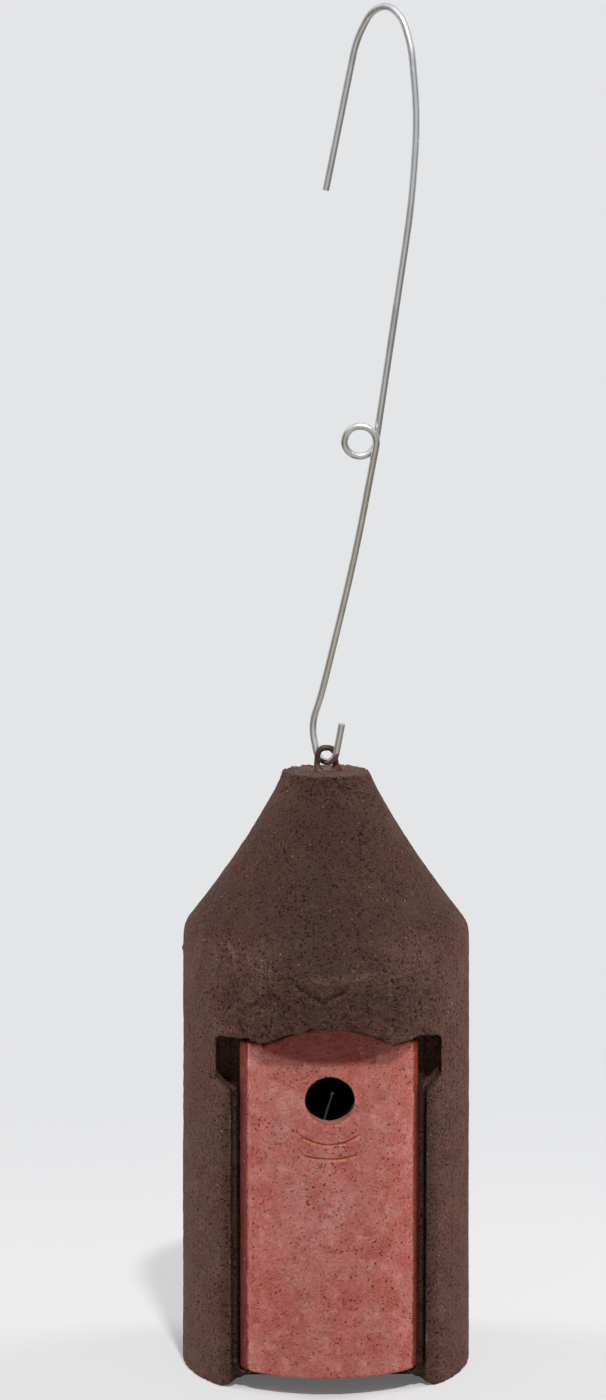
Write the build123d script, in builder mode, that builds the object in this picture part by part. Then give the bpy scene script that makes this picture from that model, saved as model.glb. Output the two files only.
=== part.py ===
from build123d import *
from math import cos, hypot, pi, radians, sin, sqrt, tan
import os

# Bird nest box cast in wood-concrete, with a lift-off front panel and a wire hanger.
# Millimetres. Z is up, the front faces -Y, and the origin lies on the surface that the
# box stands on, under the axis of its round chamber.

os.makedirs("parts", exist_ok=True)

# Cast body
base_radius = 80.0
shoulder_radius = 78.7
shoulder_height = 246.0
shoulder_round = 14.0
flank_sag = 2.2
neck_radius = 27.0
top_radius = 24.2
top_height = 331.5
top_bevel_height = 8.5
base_round = 4.0

# Nesting chamber
chamber_radius = 60.0
floor_thickness = 28.0
shoulder_thickness = 12.0
roof_radius = 16.0
crown_thickness = 43.5

# Brow over the front
brow_crest_radius = 31.0
brow_crest_drop = 15.5
brow_setback = 34.0
brow_lip_radius = 63.0
brow_lip_height = 236.5
brow_lip_tilt = 3.5
brow_foot_radius = 54.0
brow_lip_round = 2.0

# Front opening: a recess for the panel and a narrower window behind it
lintel_height = 194.5
arch_rise = 11.0
arch_half_width = 33.0
recess_half_width = 52.4
seat_radius = 66.0
window_half_width = 42.0
window_height = 188.0
cheek_facet_x = 59.5
cheek_facet_inner_depth = 5.0
foot_radius = 73.0
foot_height = 10.3
foot_inner_x = 39.5
relief_half_width = 56.0
relief_inner_y = -34.0
relief_crest_y = -62.0

# Finger notches beside the top of the panel
notch_outer_x = 60.5
notch_bottom = 172.0
notch_slope_drop = 8.0
notch_depth = 16.0

# Front panel
panel_front_radius = 75.0
panel_half_width = 48.0
panel_face_half_width = 44.7
panel_edge_chamfer = 5.5
panel_seat_gap = 0.3
panel_foot_gap = 0.3
panel_top_gap = 1.8
panel_window_gap = 0.5
panel_boss_end_gap = 1.2
hole_radius = 13.0
hole_height = 164.0
hole_flare = 3.0
hole_cut_depth = 22.0
groove_width = 1.6
groove_depth = 1.1
groove_half_width = 17.0
upper_groove_height = 140.3
upper_groove_radius = 27.5
lower_groove_height = 132.4
lower_groove_radius = 52.0

# Cast-in eye
eye_wire = 2.8
eye_half_width = 4.5
eye_height = 12.1
eye_leg_depth = 28.0
eye_leg_flare = 3.0
eye_foot_length = 7.5
eye_foot_rise = 4.0
eye_bend = 4.1
eye_turn = 8.0

# Wire hanger
hanger_wire = 3.8
swing_plane_turn = -45.0
hook_bend_radius = 7.9
hook_bend_gap = 2.6
hook_leg_lean = 15.0
curl_radius = 8.5
curl_pitch = 5.0
curl_corners = 8
# share of the shorter leg that a bend takes, and of the full radius in a round turn
bend_share = 0.45
turn_share = 0.96
# points of the wire's centre line: distance out from the box axis, height above the cone
hook_tip_at = (11.6, 26.4)
lower_leg_points = [(-11.4, 24.0), (-3.7, 41.3), (20.8, 117.3)]
curl_touch_at = (36.4, 180.0)
crook_points = [
    (61.5, 308.0),
    (65.2, 352.0),
    (60.6, 389.0),
    (54.2, 403.8),
    (44.3, 410.8),
    (32.0, 407.8),
    (21.5, 393.5),
    (-0.7, 314.3),
]

# Loose fixing nail kept in the chamber
nail_diameter = 5.0
nail_head_diameter = 10.0
nail_head_thickness = 1.6
nail_point_length = 7.0
nail_rest_gap = 0.3
nail_foot_x = -31.0
nail_foot_y = 28.0
nail_lean_x = 5.4
nail_length = 118.0

CUT_REACH = 150.0

# Heights that follow from the sizes above
neck_height = top_height - top_bevel_height
chamber_wall_top = shoulder_height - shoulder_thickness
roof_height = top_height - crown_thickness
brow_crest_height = top_height - brow_crest_drop


def front_arc_y(radius: float, x: float) -> float:
    """Y of the front of a circle about the box axis, at a distance x from the middle."""
    return -sqrt(radius**2 - x**2)


def fillet_radius(before: Vector, corner: Vector, after: Vector) -> float:
    """Largest comfortable bend at a corner of a wire's route."""
    arriving = corner - before
    leaving = after - corner
    half_turn = radians(arriving.get_angle(leaving)) / 2
    return bend_share * min(arriving.length, leaving.length) / tan(half_turn)


# Brow: it flares from the cone to a rounded lip and draws in again to the lintel
with BuildPart() as brow:
    with BuildSketch(Plane.XY.offset(brow_crest_height)):
        Circle(brow_crest_radius)
    with BuildSketch(Plane((0, -brow_setback, brow_lip_height)).rotated((brow_lip_tilt, 0, 0))):
        Circle(brow_lip_radius)
    with BuildSketch(Plane((0, -brow_setback, lintel_height))):
        Circle(brow_foot_radius)
    loft(ruled=True)
    lip = brow.edges().filter_by(GeomType.LINE, reverse=True).sort_by(SortBy.LENGTH)[-1]
    fillet(lip, brow_lip_round)

# Outline of the recess seen from the front, with the arched lintel over it
with BuildSketch(Plane.XZ) as recess_outline:
    with BuildLine():
        Polyline(
            (-arch_half_width, lintel_height),
            (-recess_half_width, lintel_height),
            (-recess_half_width, foot_height),
            (recess_half_width, foot_height),
            (recess_half_width, lintel_height),
            (arch_half_width, lintel_height),
        )
        ThreePointArc(
            (arch_half_width, lintel_height),
            (0, lintel_height + arch_rise),
            (-arch_half_width, lintel_height),
        )
    make_face()

with BuildPart() as recess:
    extrude(recess_outline.sketch, amount=CUT_REACH)
    Cylinder(seat_radius, 2 * CUT_REACH, align=(Align.CENTER, Align.CENTER, Align.MIN), mode=Mode.SUBTRACT)

# Room in front of the two feet that the panel stands on
with BuildPart() as foot_setback:
    with BuildSketch(Plane.XZ):
        with Locations((0, foot_height / 2)):
            Rectangle(2 * recess_half_width, foot_height)
    extrude(amount=CUT_REACH)
    Cylinder(foot_radius, 2 * CUT_REACH, mode=Mode.SUBTRACT)

# What stays of the floor behind a relief that rises towards the front under the panel
with BuildPart() as relief_core:
    Cylinder(seat_radius, foot_height, align=(Align.CENTER, Align.CENTER, Align.MIN))
    with BuildSketch(Plane.YZ):
        with BuildLine():
            Polyline(
                (-CUT_REACH, 0),
                (relief_inner_y, 0),
                (relief_crest_y, foot_height),
                (-CUT_REACH, foot_height),
                close=True,
            )
        make_face()
    extrude(amount=CUT_REACH, both=True, mode=Mode.SUBTRACT)

# The relief itself, between the slanted inner ends of the feet
with BuildPart() as relief:
    with BuildSketch(Plane.XZ):
        with BuildLine():
            Polyline(
                (-relief_half_width, 0),
                (relief_half_width, 0),
                (foot_inner_x, foot_height),
                (-foot_inner_x, foot_height),
                close=True,
            )
        make_face()
    extrude(amount=CUT_REACH)
    add(relief_core.part, mode=Mode.SUBTRACT)

# Eye: one painted wire, bent to an arch, its turned-out feet cast into the cone
eye_plane = Plane((0, 0, top_height), x_dir=(cos(radians(eye_turn)), sin(radians(eye_turn)), 0),
                  z_dir=(sin(radians(eye_turn)), -cos(radians(eye_turn)), 0))
eye_leg_x = eye_half_width + eye_leg_flare
with BuildPart() as hanging_eye:
    with BuildLine(eye_plane) as eye_route:
        FilletPolyline(
            (-eye_leg_x - eye_foot_length, -eye_leg_depth + eye_foot_rise),
            (-eye_leg_x, -eye_leg_depth),
            (-eye_half_width, eye_height),
            (eye_half_width, eye_height),
            (eye_leg_x, -eye_leg_depth),
            (eye_leg_x + eye_foot_length, -eye_leg_depth + eye_foot_rise),
            radius=eye_bend,
        )
    with BuildSketch(Plane(eye_route.line @ 0, z_dir=eye_route.line % 0)):
        Circle(eye_wire / 2)
    sweep(path=eye_route.line)

# Body: one casting, with the chamber, the front opening and the cast-in eye taken out
with BuildPart() as body:
    with BuildSketch(Plane.XZ) as section:
        flank_middle_x = (shoulder_radius + neck_radius) / 2
        flank_middle_z = (shoulder_height + neck_height) / 2
        flank_length = hypot(shoulder_radius - neck_radius, neck_height - shoulder_height)
        sag_x = flank_sag * (neck_height - shoulder_height) / flank_length
        sag_z = flank_sag * (shoulder_radius - neck_radius) / flank_length
        with BuildLine():
            Polyline(
                (neck_radius, neck_height),
                (top_radius, top_height),
                (0, top_height),
                (0, 0),
                (base_radius, 0),
                (shoulder_radius, shoulder_height),
            )
            ThreePointArc(
                (shoulder_radius, shoulder_height),
                (flank_middle_x - sag_x, flank_middle_z - sag_z),
                (neck_radius, neck_height),
            )
        make_face()
        outer_corners = section.vertices().sort_by(Axis.X)[-2:].sort_by(Axis.Z)
        fillet(outer_corners[0], base_round)
        fillet(outer_corners[1], shoulder_round)
    revolve(axis=Axis.Z)
    add(brow.part)
    with BuildSketch(Plane.XZ):
        with BuildLine():
            Polyline(
                (0, floor_thickness),
                (chamber_radius, floor_thickness),
                (chamber_radius, chamber_wall_top),
                (roof_radius, roof_height),
                (0, roof_height),
                close=True,
            )
        make_face()
    revolve(axis=Axis.Z, mode=Mode.SUBTRACT)
    add(recess.part, mode=Mode.SUBTRACT)
    # window between the recess and the chamber
    with BuildSketch(Plane.XZ):
        with Locations((0, (floor_thickness + window_height) / 2)):
            Rectangle(2 * window_half_width, window_height - floor_thickness)
    extrude(amount=CUT_REACH, mode=Mode.SUBTRACT)
    # flat facets down both cheeks
    facet_outer_y = front_arc_y(base_radius, cheek_facet_x)
    facet_inner_y = front_arc_y(base_radius, recess_half_width) + cheek_facet_inner_depth
    with BuildSketch(Plane.XY):
        with BuildLine():
            Polyline(
                (cheek_facet_x, facet_outer_y),
                (recess_half_width, facet_inner_y),
                (recess_half_width, -base_radius),
                (cheek_facet_x, -base_radius),
                close=True,
            )
        make_face()
        mirror(about=Plane.YZ)
    extrude(amount=lintel_height, mode=Mode.SUBTRACT)
    # finger notches
    notch_back_y = front_arc_y(base_radius, notch_outer_x) + notch_depth
    with BuildSketch(Plane.XZ.offset(-notch_back_y)):
        with BuildLine():
            Polyline(
                (recess_half_width, lintel_height),
                (notch_outer_x, lintel_height),
                (notch_outer_x, notch_bottom),
                (recess_half_width, notch_bottom - notch_slope_drop),
                close=True,
            )
        make_face()
        mirror(about=Plane.YZ)
    extrude(amount=CUT_REACH, mode=Mode.SUBTRACT)
    add(foot_setback.part, mode=Mode.SUBTRACT)
    add(relief.part, mode=Mode.SUBTRACT)
    add(hanging_eye.part, mode=Mode.SUBTRACT)

# Front panel: a rebated slab, curved like the body, that stands on the two feet
panel_bottom = foot_height + panel_foot_gap
panel_back_radius = seat_radius + panel_seat_gap
panel_boss_half_width = window_half_width - panel_window_gap
panel_boss_bottom = floor_thickness + panel_boss_end_gap
panel_boss_top = window_height - panel_boss_end_gap
panel_shoulder_height = lintel_height - panel_top_gap
face_edge_y = front_arc_y(panel_front_radius, panel_face_half_width)
side_back_y = front_arc_y(panel_back_radius, panel_half_width)


def groove_outline(height: float, radius: float):
    """Thin arc seen from the front, lowest in the middle at the given height."""
    rise = radius - sqrt(radius**2 - groove_half_width**2)
    with BuildSketch(Plane.XZ) as outline:
        with BuildLine() as middle:
            ThreePointArc(
                (-groove_half_width, height + rise),
                (0, height),
                (groove_half_width, height + rise),
            )
        trace(middle.line, line_width=groove_width)
    return outline.sketch


with BuildPart() as grooves:
    extrude(groove_outline(upper_groove_height, upper_groove_radius), amount=CUT_REACH)
    extrude(groove_outline(lower_groove_height, lower_groove_radius), amount=CUT_REACH)
    Cylinder(
        panel_front_radius - groove_depth,
        2 * CUT_REACH,
        align=(Align.CENTER, Align.CENTER, Align.MIN),
        mode=Mode.SUBTRACT,
    )

with BuildPart() as front_panel:
    with BuildSketch(Plane.XY.offset(panel_bottom)):
        with BuildLine():
            ThreePointArc(
                (-panel_face_half_width, face_edge_y),
                (0, -panel_front_radius),
                (panel_face_half_width, face_edge_y),
            )
            Polyline(
                (panel_face_half_width, face_edge_y),
                (panel_half_width, face_edge_y + panel_edge_chamfer),
                (panel_half_width, side_back_y),
            )
            ThreePointArc(
                (panel_half_width, side_back_y),
                (0, -panel_back_radius),
                (-panel_half_width, side_back_y),
            )
            Polyline(
                (-panel_half_width, side_back_y),
                (-panel_half_width, face_edge_y + panel_edge_chamfer),
                (-panel_face_half_width, face_edge_y),
            )
        make_face()
    extrude(amount=top_height)
    # the top follows the lintel, a small gap below it
    with BuildSketch(Plane.XZ):
        with BuildLine():
            Polyline(
                (-arch_half_width, panel_shoulder_height),
                (-panel_half_width, panel_shoulder_height),
                (-panel_half_width, panel_bottom),
                (panel_half_width, panel_bottom),
                (panel_half_width, panel_shoulder_height),
                (arch_half_width, panel_shoulder_height),
            )
            ThreePointArc(
                (arch_half_width, panel_shoulder_height),
                (0, panel_shoulder_height + arch_rise),
                (-arch_half_width, panel_shoulder_height),
            )
        make_face()
    extrude(amount=CUT_REACH, mode=Mode.INTERSECT)
    # the boss that fills the window, flush with the chamber wall
    with BuildSketch(Plane.XY.offset(panel_boss_bottom)):
        Circle(panel_back_radius)
        Circle(chamber_radius, mode=Mode.SUBTRACT)
        with Locations((0, -panel_back_radius)):
            Rectangle(2 * panel_boss_half_width, 2 * panel_back_radius, mode=Mode.INTERSECT)
    extrude(amount=panel_boss_top - panel_boss_bottom)
    # entrance hole, a little wider inside
    with BuildSketch(Plane.XZ.offset(panel_front_radius)):
        with Locations((0, hole_height)):
            Circle(hole_radius)
    extrude(amount=-hole_cut_depth, taper=-hole_flare, mode=Mode.SUBTRACT)
    add(grooves.part, mode=Mode.SUBTRACT)

# Hanger: its long legs lie in one upright plane, the curl in a plane facing the front
swing_out = Vector(1, 0, 0).rotate(Axis.Z, swing_plane_turn)
bend_height = hook_bend_gap + hanger_wire / 2 + hook_bend_radius


def in_swing_plane(at: tuple[float, float]) -> Vector:
    """Point of the hanger, from its distance out and its height above the cone's top."""
    return swing_out * at[0] + Vector(0, 0, top_height + at[1])


bend_step = (180 - 2 * hook_leg_lean) / 3
bend_corner_radius = hook_bend_radius / cos(radians(bend_step / 2))
bend_corners = []
for corner in range(3):
    angle = radians((corner - 1) * bend_step - 90)
    bend_corners.append(
        in_swing_plane((bend_corner_radius * cos(angle), bend_height + bend_corner_radius * sin(angle)))
    )
bend_corners.reverse()
lower_leg = [in_swing_plane(at) for at in lower_leg_points]
curl_touch = in_swing_plane(curl_touch_at)
crook = [in_swing_plane(at) for at in crook_points]

# the curl climbs about an axis that points to the back
curl_up = (curl_touch - lower_leg[-1]).normalized()
curl_back = curl_up.cross(Vector(1, 0, 0)).normalized()
curl_right = curl_back.cross(curl_up)
curl_centre = curl_touch - curl_right * curl_radius
curl_step = 360 / curl_corners
curl_corner_radius = curl_radius / cos(radians(curl_step / 2))
curl = []
for corner in range(curl_corners):
    turned = (corner + 0.5) / curl_corners
    outwards = curl_right * cos(2 * pi * turned) + curl_up * sin(2 * pi * turned)
    curl.append(curl_centre + outwards * curl_corner_radius + curl_back * curl_pitch * (turned - 0.5))

route = [in_swing_plane(hook_tip_at)] + bend_corners + lower_leg + curl + crook
radii = [fillet_radius(*route[i - 1 : i + 2]) for i in range(1, len(route) - 1)]
first_curl = len(bend_corners) + len(lower_leg)
radii[: len(bend_corners)] = [hook_bend_radius * turn_share] * len(bend_corners)
radii[first_curl : first_curl + curl_corners] = [curl_radius * turn_share] * curl_corners

with BuildPart() as hanger:
    with BuildLine() as hanger_route:
        FilletPolyline(*route, radius=radii)
    with BuildSketch(Plane(hanger_route.line @ 0, z_dir=hanger_route.line % 0)):
        Circle(hanger_wire / 2)
    sweep(path=hanger_route.line)

# Nail: it stands on the floor of the chamber and leans against the back wall
nail_foot = Vector(nail_foot_x, nail_foot_y, floor_thickness + nail_rest_gap)
nail_lean_y = chamber_radius - nail_rest_gap - nail_head_diameter / 2
nail_run = hypot(nail_lean_x - nail_foot_x, nail_lean_y - nail_foot_y)
nail_axis = Vector(
    nail_lean_x - nail_foot_x,
    nail_lean_y - nail_foot_y,
    sqrt(nail_length**2 - nail_run**2),
).normalized()
with BuildPart() as fixing_nail:
    with BuildSketch(Plane(nail_foot, x_dir=nail_axis, z_dir=nail_axis.cross(Vector(0, 0, 1)))):
        with BuildLine():
            Polyline(
                (0, 0),
                (nail_point_length, nail_diameter / 2),
                (nail_length - nail_head_thickness, nail_diameter / 2),
                (nail_length - nail_head_thickness, nail_head_diameter / 2),
                (nail_length, nail_head_diameter / 2),
                (nail_length, 0),
                close=True,
            )
        make_face()
    revolve(axis=Axis(nail_foot, nail_axis))

body.part.label = "body"
front_panel.part.label = "front_panel"
hanging_eye.part.label = "hanging_eye"
hanger.part.label = "hanger"
fixing_nail.part.label = "fixing_nail"

export_step(body.part, "parts/body.step")
export_step(front_panel.part, "parts/front_panel.step")
export_step(hanging_eye.part, "parts/hanging_eye.step")
export_step(hanger.part, "parts/hanger.step")
export_step(fixing_nail.part, "parts/fixing_nail.step")

wire_length = hanger_route.wires()[0].length
wire_section = pi * (hanger_wire / 2) ** 2
print("hanger volume", round(hanger.part.volume, 1))
print("hanger section times length", round(wire_section * wire_length, 1))
print("panel hinge at", round(front_arc_y(foot_radius, foot_inner_x), 3), foot_height)
print("hanger hinge at height", round(top_height + bend_height, 3))
print("curl centre", curl_centre, "touch", curl_touch)
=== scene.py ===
import logging
from dataclasses import dataclass, replace
from enum import Enum
from math import cos, pi, radians, sin
from typing import Any, Mapping, Sequence, Union

import bmesh
import bpy
import numpy as np
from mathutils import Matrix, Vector


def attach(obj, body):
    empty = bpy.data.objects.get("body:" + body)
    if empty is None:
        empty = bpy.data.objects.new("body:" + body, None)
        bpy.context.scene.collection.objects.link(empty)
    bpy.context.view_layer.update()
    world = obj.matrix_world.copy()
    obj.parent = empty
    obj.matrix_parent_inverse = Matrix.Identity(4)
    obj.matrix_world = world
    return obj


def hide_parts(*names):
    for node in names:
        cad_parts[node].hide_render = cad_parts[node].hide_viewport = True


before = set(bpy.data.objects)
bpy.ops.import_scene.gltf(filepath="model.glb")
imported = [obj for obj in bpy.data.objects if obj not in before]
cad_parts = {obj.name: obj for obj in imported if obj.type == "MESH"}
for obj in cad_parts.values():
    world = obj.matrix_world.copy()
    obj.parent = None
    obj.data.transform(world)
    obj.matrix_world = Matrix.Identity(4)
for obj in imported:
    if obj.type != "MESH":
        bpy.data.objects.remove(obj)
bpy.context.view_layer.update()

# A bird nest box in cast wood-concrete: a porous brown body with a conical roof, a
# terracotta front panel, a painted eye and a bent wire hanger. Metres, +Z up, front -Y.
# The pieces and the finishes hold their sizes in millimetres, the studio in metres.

log = logging.getLogger("nest_box")

MM = 0.001
MIDDLE = 0.5
TRIANGLE_LIMIT = 190_000

Colour = tuple[float, float, float]
Point = tuple[float, float, float]
Operand = Union["Wire", float]
Values = Mapping[Union[str, int], Any]


def seen(red: int, green: int, blue: int) -> Colour:
    """Turns a colour as a screen shows it into linear light.

    Args:
        red: red from 0 to 255.
        green: green from 0 to 255.
        blue: blue from 0 to 255.

    Returns:
        The three channels in linear light, from 0 to 1.
    """
    def channel(value: int) -> float:
        """Returns one channel in linear light."""
        share = value / 255
        return share / 12.92 if share <= 0.04045 else ((share + 0.055) / 1.055) ** 2.4

    return channel(red), channel(green), channel(blue)


def eased(share: np.ndarray) -> np.ndarray:
    """Returns a share from 0 to 1 with soft ends."""
    return share * share * (3 - 2 * share)


@dataclass(frozen=True)
class Span:
    """The values over which something fades in; they may run downwards."""

    start: float
    end: float

    def of(self, values: np.ndarray) -> np.ndarray:
        """Fades in over the span.

        Args:
            values: the values to look up.

        Returns:
            0 up to the start, 1 from the end on, and an eased share between them.
        """
        share = np.clip((values - self.start) / (self.end - self.start), 0.0, 1.0)
        return eased(share)


# Shaders.


class Way(Enum):
    """How one colour lies over another."""

    COVER = "MIX"
    MULTIPLY = "MULTIPLY"


class Ray(Enum):
    """The kinds of ray that the studio tells apart."""

    CAMERA = "Is Camera Ray"
    GLOSSY = "Is Glossy Ray"
    TRANSMITTED = "Is Transmission Ray"


class Mark(Enum):
    """What a mesh says of its own surface, point by point."""

    # Pale chips, and on the panel a painted highlight on each groove's lower lip.
    CHIPS_AND_HIGHLIGHTS = "chipped"
    RAW = "raw"
    # Pale scuffs and tones, and on the body a painted highlight along the lip.
    PALE = "pale"
    # Dark pits and darker tones, and painted shade in the recess, the grooves, the panel's side
    # borders and under the brow.
    DARK_AND_SHADE = "dark_and_shade"


@dataclass(frozen=True)
class Cloud:
    """Cloudy noise: how far apart its clouds lie, its finer layers and where it fades in."""

    size: float
    detail: float
    edge: Union[Span, None] = None


@dataclass(frozen=True)
class Shake:
    """Small shifts of a pattern: how far apart they differ and how far they reach."""

    size: float
    reach: float


@dataclass(frozen=True)
class Spots:
    """Scattered round spots: the radius is a share of the distance between their places."""

    spacing: float
    share: float
    radius: float

    def closer(self, share: float) -> "Spots":
        """Returns the same spots on a smaller scale."""
        return replace(self, spacing=self.spacing * share)


class Wire:
    """A socket in a shader, so that sums on shader values read as plain sums."""

    def __init__(self, recipe: "Recipe", socket: bpy.types.NodeSocket) -> None:
        """Keeps the recipe and the output socket that the value comes from."""
        self.recipe = recipe
        self.socket = socket

    def _math(self, operation: str, *values: Operand) -> "Wire":
        """Adds one Math node.

        Args:
            operation: Blender's name of the sum.
            values: the node's inputs in order, links or numbers.

        Returns:
            The result as a new value.
        """
        node = self.recipe.add("ShaderNodeMath", {"operation": operation}, dict(enumerate(values)))
        return self.recipe.read(node, "Value")

    def __add__(self, other: Operand) -> "Wire":
        """Returns this value plus another."""
        return self._math("ADD", self, other)

    def __radd__(self, other: Operand) -> "Wire":
        """Returns another value plus this one."""
        return self._math("ADD", other, self)

    def __sub__(self, other: Operand) -> "Wire":
        """Returns this value less another."""
        return self._math("SUBTRACT", self, other)

    def __rsub__(self, other: Operand) -> "Wire":
        """Returns another value less this one."""
        return self._math("SUBTRACT", other, self)

    def __mul__(self, other: Operand) -> "Wire":
        """Returns this value times another."""
        return self._math("MULTIPLY", self, other)

    def __rmul__(self, other: Operand) -> "Wire":
        """Returns another value times this one."""
        return self._math("MULTIPLY", other, self)

    def __truediv__(self, other: Operand) -> "Wire":
        """Returns this value divided by another."""
        return self._math("DIVIDE", self, other)

    def __rtruediv__(self, other: Operand) -> "Wire":
        """Returns another value divided by this one."""
        return self._math("DIVIDE", other, self)

    def __pow__(self, other: Operand) -> "Wire":
        """Returns this value to a power."""
        return self._math("POWER", self, other)

    def __rpow__(self, other: Operand) -> "Wire":
        """Returns another value to the power of this one."""
        return self._math("POWER", other, self)

    def higher(self, other: Operand) -> "Wire":
        """Returns the higher of this value and another."""
        return self._math("MAXIMUM", self, other)

    def between(self, low: Operand, high: Operand) -> "Wire":
        """Eases from 0 at one value to 1 at another.

        Args:
            low: where the result is 0.
            high: where the result is 1; it may be under low.

        Returns:
            The eased value, kept from 0 to 1.
        """
        settings = {"interpolation_type": "SMOOTHSTEP"}
        values = {"Value": self, "From Min": low, "From Max": high}
        node = self.recipe.add("ShaderNodeMapRange", settings, values)
        return self.recipe.read(node, "Result")

    def over(self, span: Span) -> "Wire":
        """Eases from 0 at the start of a span to 1 at its end."""
        return self.between(span.start, span.end)


class Recipe:
    """One node tree while it is being mixed, for a material or for the world."""

    least_spot: float = 0.001
    solid_share: float = 0.55

    def __init__(self, tree: bpy.types.NodeTree, start: str = "Object") -> None:
        """Empties the tree and reads where a point lies.

        Args:
            tree: the node tree.
            start: the kind of place that the patterns start from.
        """
        self.tree = tree
        tree.nodes.clear()
        self.place = self.read(self.add("ShaderNodeTexCoord", {}, {}), start)

    def add(self, kind: str, settings: Mapping[str, Any], values: Values) -> bpy.types.Node:
        """Adds a node of any kind.

        Args:
            kind: Blender's name of the node type.
            settings: the node's own settings, which are set first.
            values: numbers, colours or wires for its sockets, by name or by number.

        Returns:
            The new node.
        """
        node = self.tree.nodes.new(kind)
        for name, setting in settings.items():
            setattr(node, name, setting)
        for key, value in values.items():
            if isinstance(key, int):
                socket = node.inputs[key]
            else:
                socket = next(s for s in node.inputs if s.enabled and s.name == key)
            if isinstance(value, Wire):
                self.tree.links.new(value.socket, socket)
            elif socket.type == "RGBA":
                socket.default_value = (*value, 1.0)
            else:
                socket.default_value = value
        return node

    def read(self, node: bpy.types.Node, name: str) -> Wire:
        """Returns a node's output by its name."""
        return Wire(self, next(s for s in node.outputs if s.enabled and s.name == name))

    def vector(self, operation: str, values: Values, result: str = "Vector") -> Wire:
        """Adds one Vector Math node.

        Args:
            operation: Blender's name of the sum.
            values: the node's inputs, by number, and Scale by its name.
            result: the name of the output that is read.

        Returns:
            The result as a new value.
        """
        node = self.add("ShaderNodeVectorMath", {"operation": operation}, values)
        return self.read(node, result)

    def grain(self, cloud: Cloud, place: Union[Wire, None] = None) -> Wire:
        """Adds cloudy noise over the object.

        Args:
            cloud: the noise's size, finer layers and fading.
            place: the point to look up, if not the plain one.

        Returns:
            A value around 0.5, or from 0 to 1 where the cloud says how it fades in.
        """
        values = {
            "Vector": place or self.place,
            "Scale": 1 / (cloud.size * MM),
            "Detail": cloud.detail,
        }
        noise = self.read(self.add("ShaderNodeTexNoise", {}, values), "Fac")
        return noise.over(cloud.edge) if cloud.edge else noise

    def shaken(self, shake: Shake) -> Wire:
        """Shifts the point on the object a little by noise, so that shapes turn ragged.

        Args:
            shake: how far apart the shifts differ and how far they reach.

        Returns:
            The shifted point.
        """
        values = {"Vector": self.place, "Scale": 1 / (shake.size * MM)}
        noise = self.read(self.add("ShaderNodeTexNoise", {}, values), "Color")
        either_way = self.vector("SUBTRACT", {0: noise, 1: (MIDDLE, MIDDLE, MIDDLE)})
        shift = self.vector("SCALE", {0: either_way, "Scale": 2 * shake.reach * MM})
        return self.vector("ADD", {0: self.place, 1: shift})

    def stretched(self, share: float) -> Wire:
        """Returns the point with its height shrunk, so that patterns run up and down."""
        return self.vector("MULTIPLY", {0: self.place, 1: (1.0, 1.0, share)})

    def cells(self, size: float, place: Wire, channel: str) -> tuple[Wire, Wire]:
        """Divides space into cells.

        Args:
            size: the mean distance between the cells, in millimetres.
            place: the point to look up.
            channel: the colour channel that a cell's random number is read from.

        Returns:
            The distance from the middle of the cell, in cells, and the cell's random number.
        """
        cells = self.add("ShaderNodeTexVoronoi", {}, {"Vector": place, "Scale": 1 / (size * MM)})
        parts = self.add("ShaderNodeSeparateColor", {}, {"Color": self.read(cells, "Color")})
        return self.read(cells, "Distance"), self.read(parts, channel)

    def spots(self, spots: Spots, place: Wire) -> Wire:
        """Scatters small round spots over the object.

        Args:
            spots: how far apart the spots lie, how many there are and how large.
            place: the point to look up.

        Returns:
            1 inside a spot and 0 outside.
        """
        distance, draw = self.cells(spots.spacing, place, "Red")
        reach = (draw - (1 - spots.share)) * (spots.radius / spots.share)
        reach = reach.higher(self.least_spot)
        return distance.between(reach, reach * self.solid_share)

    def blend(self, share: Operand, under: Any, over: Any, way: Way = Way.COVER) -> Wire:
        """Mixes two colours.

        Args:
            share: how much of the second shows.
            under: the first colour.
            over: the second colour.
            way: how the second lies over the first.

        Returns:
            The mixed colour.
        """
        settings = {"data_type": "RGBA", "blend_type": way.value}
        node = self.add("ShaderNodeMix", settings, {"Factor": share, "A": under, "B": over})
        return self.read(node, "Result")

    def raised(self, height: Wire) -> Wire:
        """Turns a height in millimetres into a surface normal.

        Args:
            height: the height over the surface.

        Returns:
            The normal.
        """
        values = {"Strength": 1.0, "Distance": MM, "Height": height}
        return self.read(self.add("ShaderNodeBump", {}, values), "Normal")

    def worn(self, mark: Mark) -> Wire:
        """Returns a value that is stored on the mesh, such as where its edges are chipped."""
        return self.read(self.add("ShaderNodeAttribute", {"attribute_name": mark.value}, {}), "Fac")

    def ray(self, kind: Ray) -> Wire:
        """Returns 1 where the surface is met by a ray of the kind given."""
        return self.read(self.add("ShaderNodeLightPath", {}, {}), kind.value)

    def surface(self, values: Values) -> None:
        """Ends the tree in one surface.

        Args:
            values: the surface's own values, by the names of its sockets.
        """
        skin = self.add("ShaderNodeBsdfPrincipled", {}, values)
        self.add("ShaderNodeOutputMaterial", {}, {"Surface": self.read(skin, "BSDF")})

    def two_surfaces(self, share: Wire, under: Wire, over: Wire) -> None:
        """Ends the tree in a mix of two surfaces.

        Args:
            share: how much of the second shows.
            under: the first surface.
            over: the second surface.
        """
        both = self.add("ShaderNodeMixShader", {}, {0: share, 1: under, 2: over})
        self.add("ShaderNodeOutputMaterial", {}, {"Surface": self.read(both, "Shader")})


def new_recipe(name: str) -> tuple[bpy.types.Material, Recipe]:
    """Makes a material that is still to be mixed.

    Args:
        name: the material's name.

    Returns:
        The new material and its empty recipe.
    """
    material = bpy.data.materials.new(name)
    material.use_nodes = True
    return material, Recipe(material.node_tree)


@dataclass(frozen=True)
class Rise:
    """A share of a pattern: on the cast surface, and how much more where it is broken."""

    cast: float
    broken: float

    def at(self, raw: Wire) -> Wire:
        """Returns the share at a place that is broken by the share given."""
        return self.cast + self.broken * raw


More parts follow.
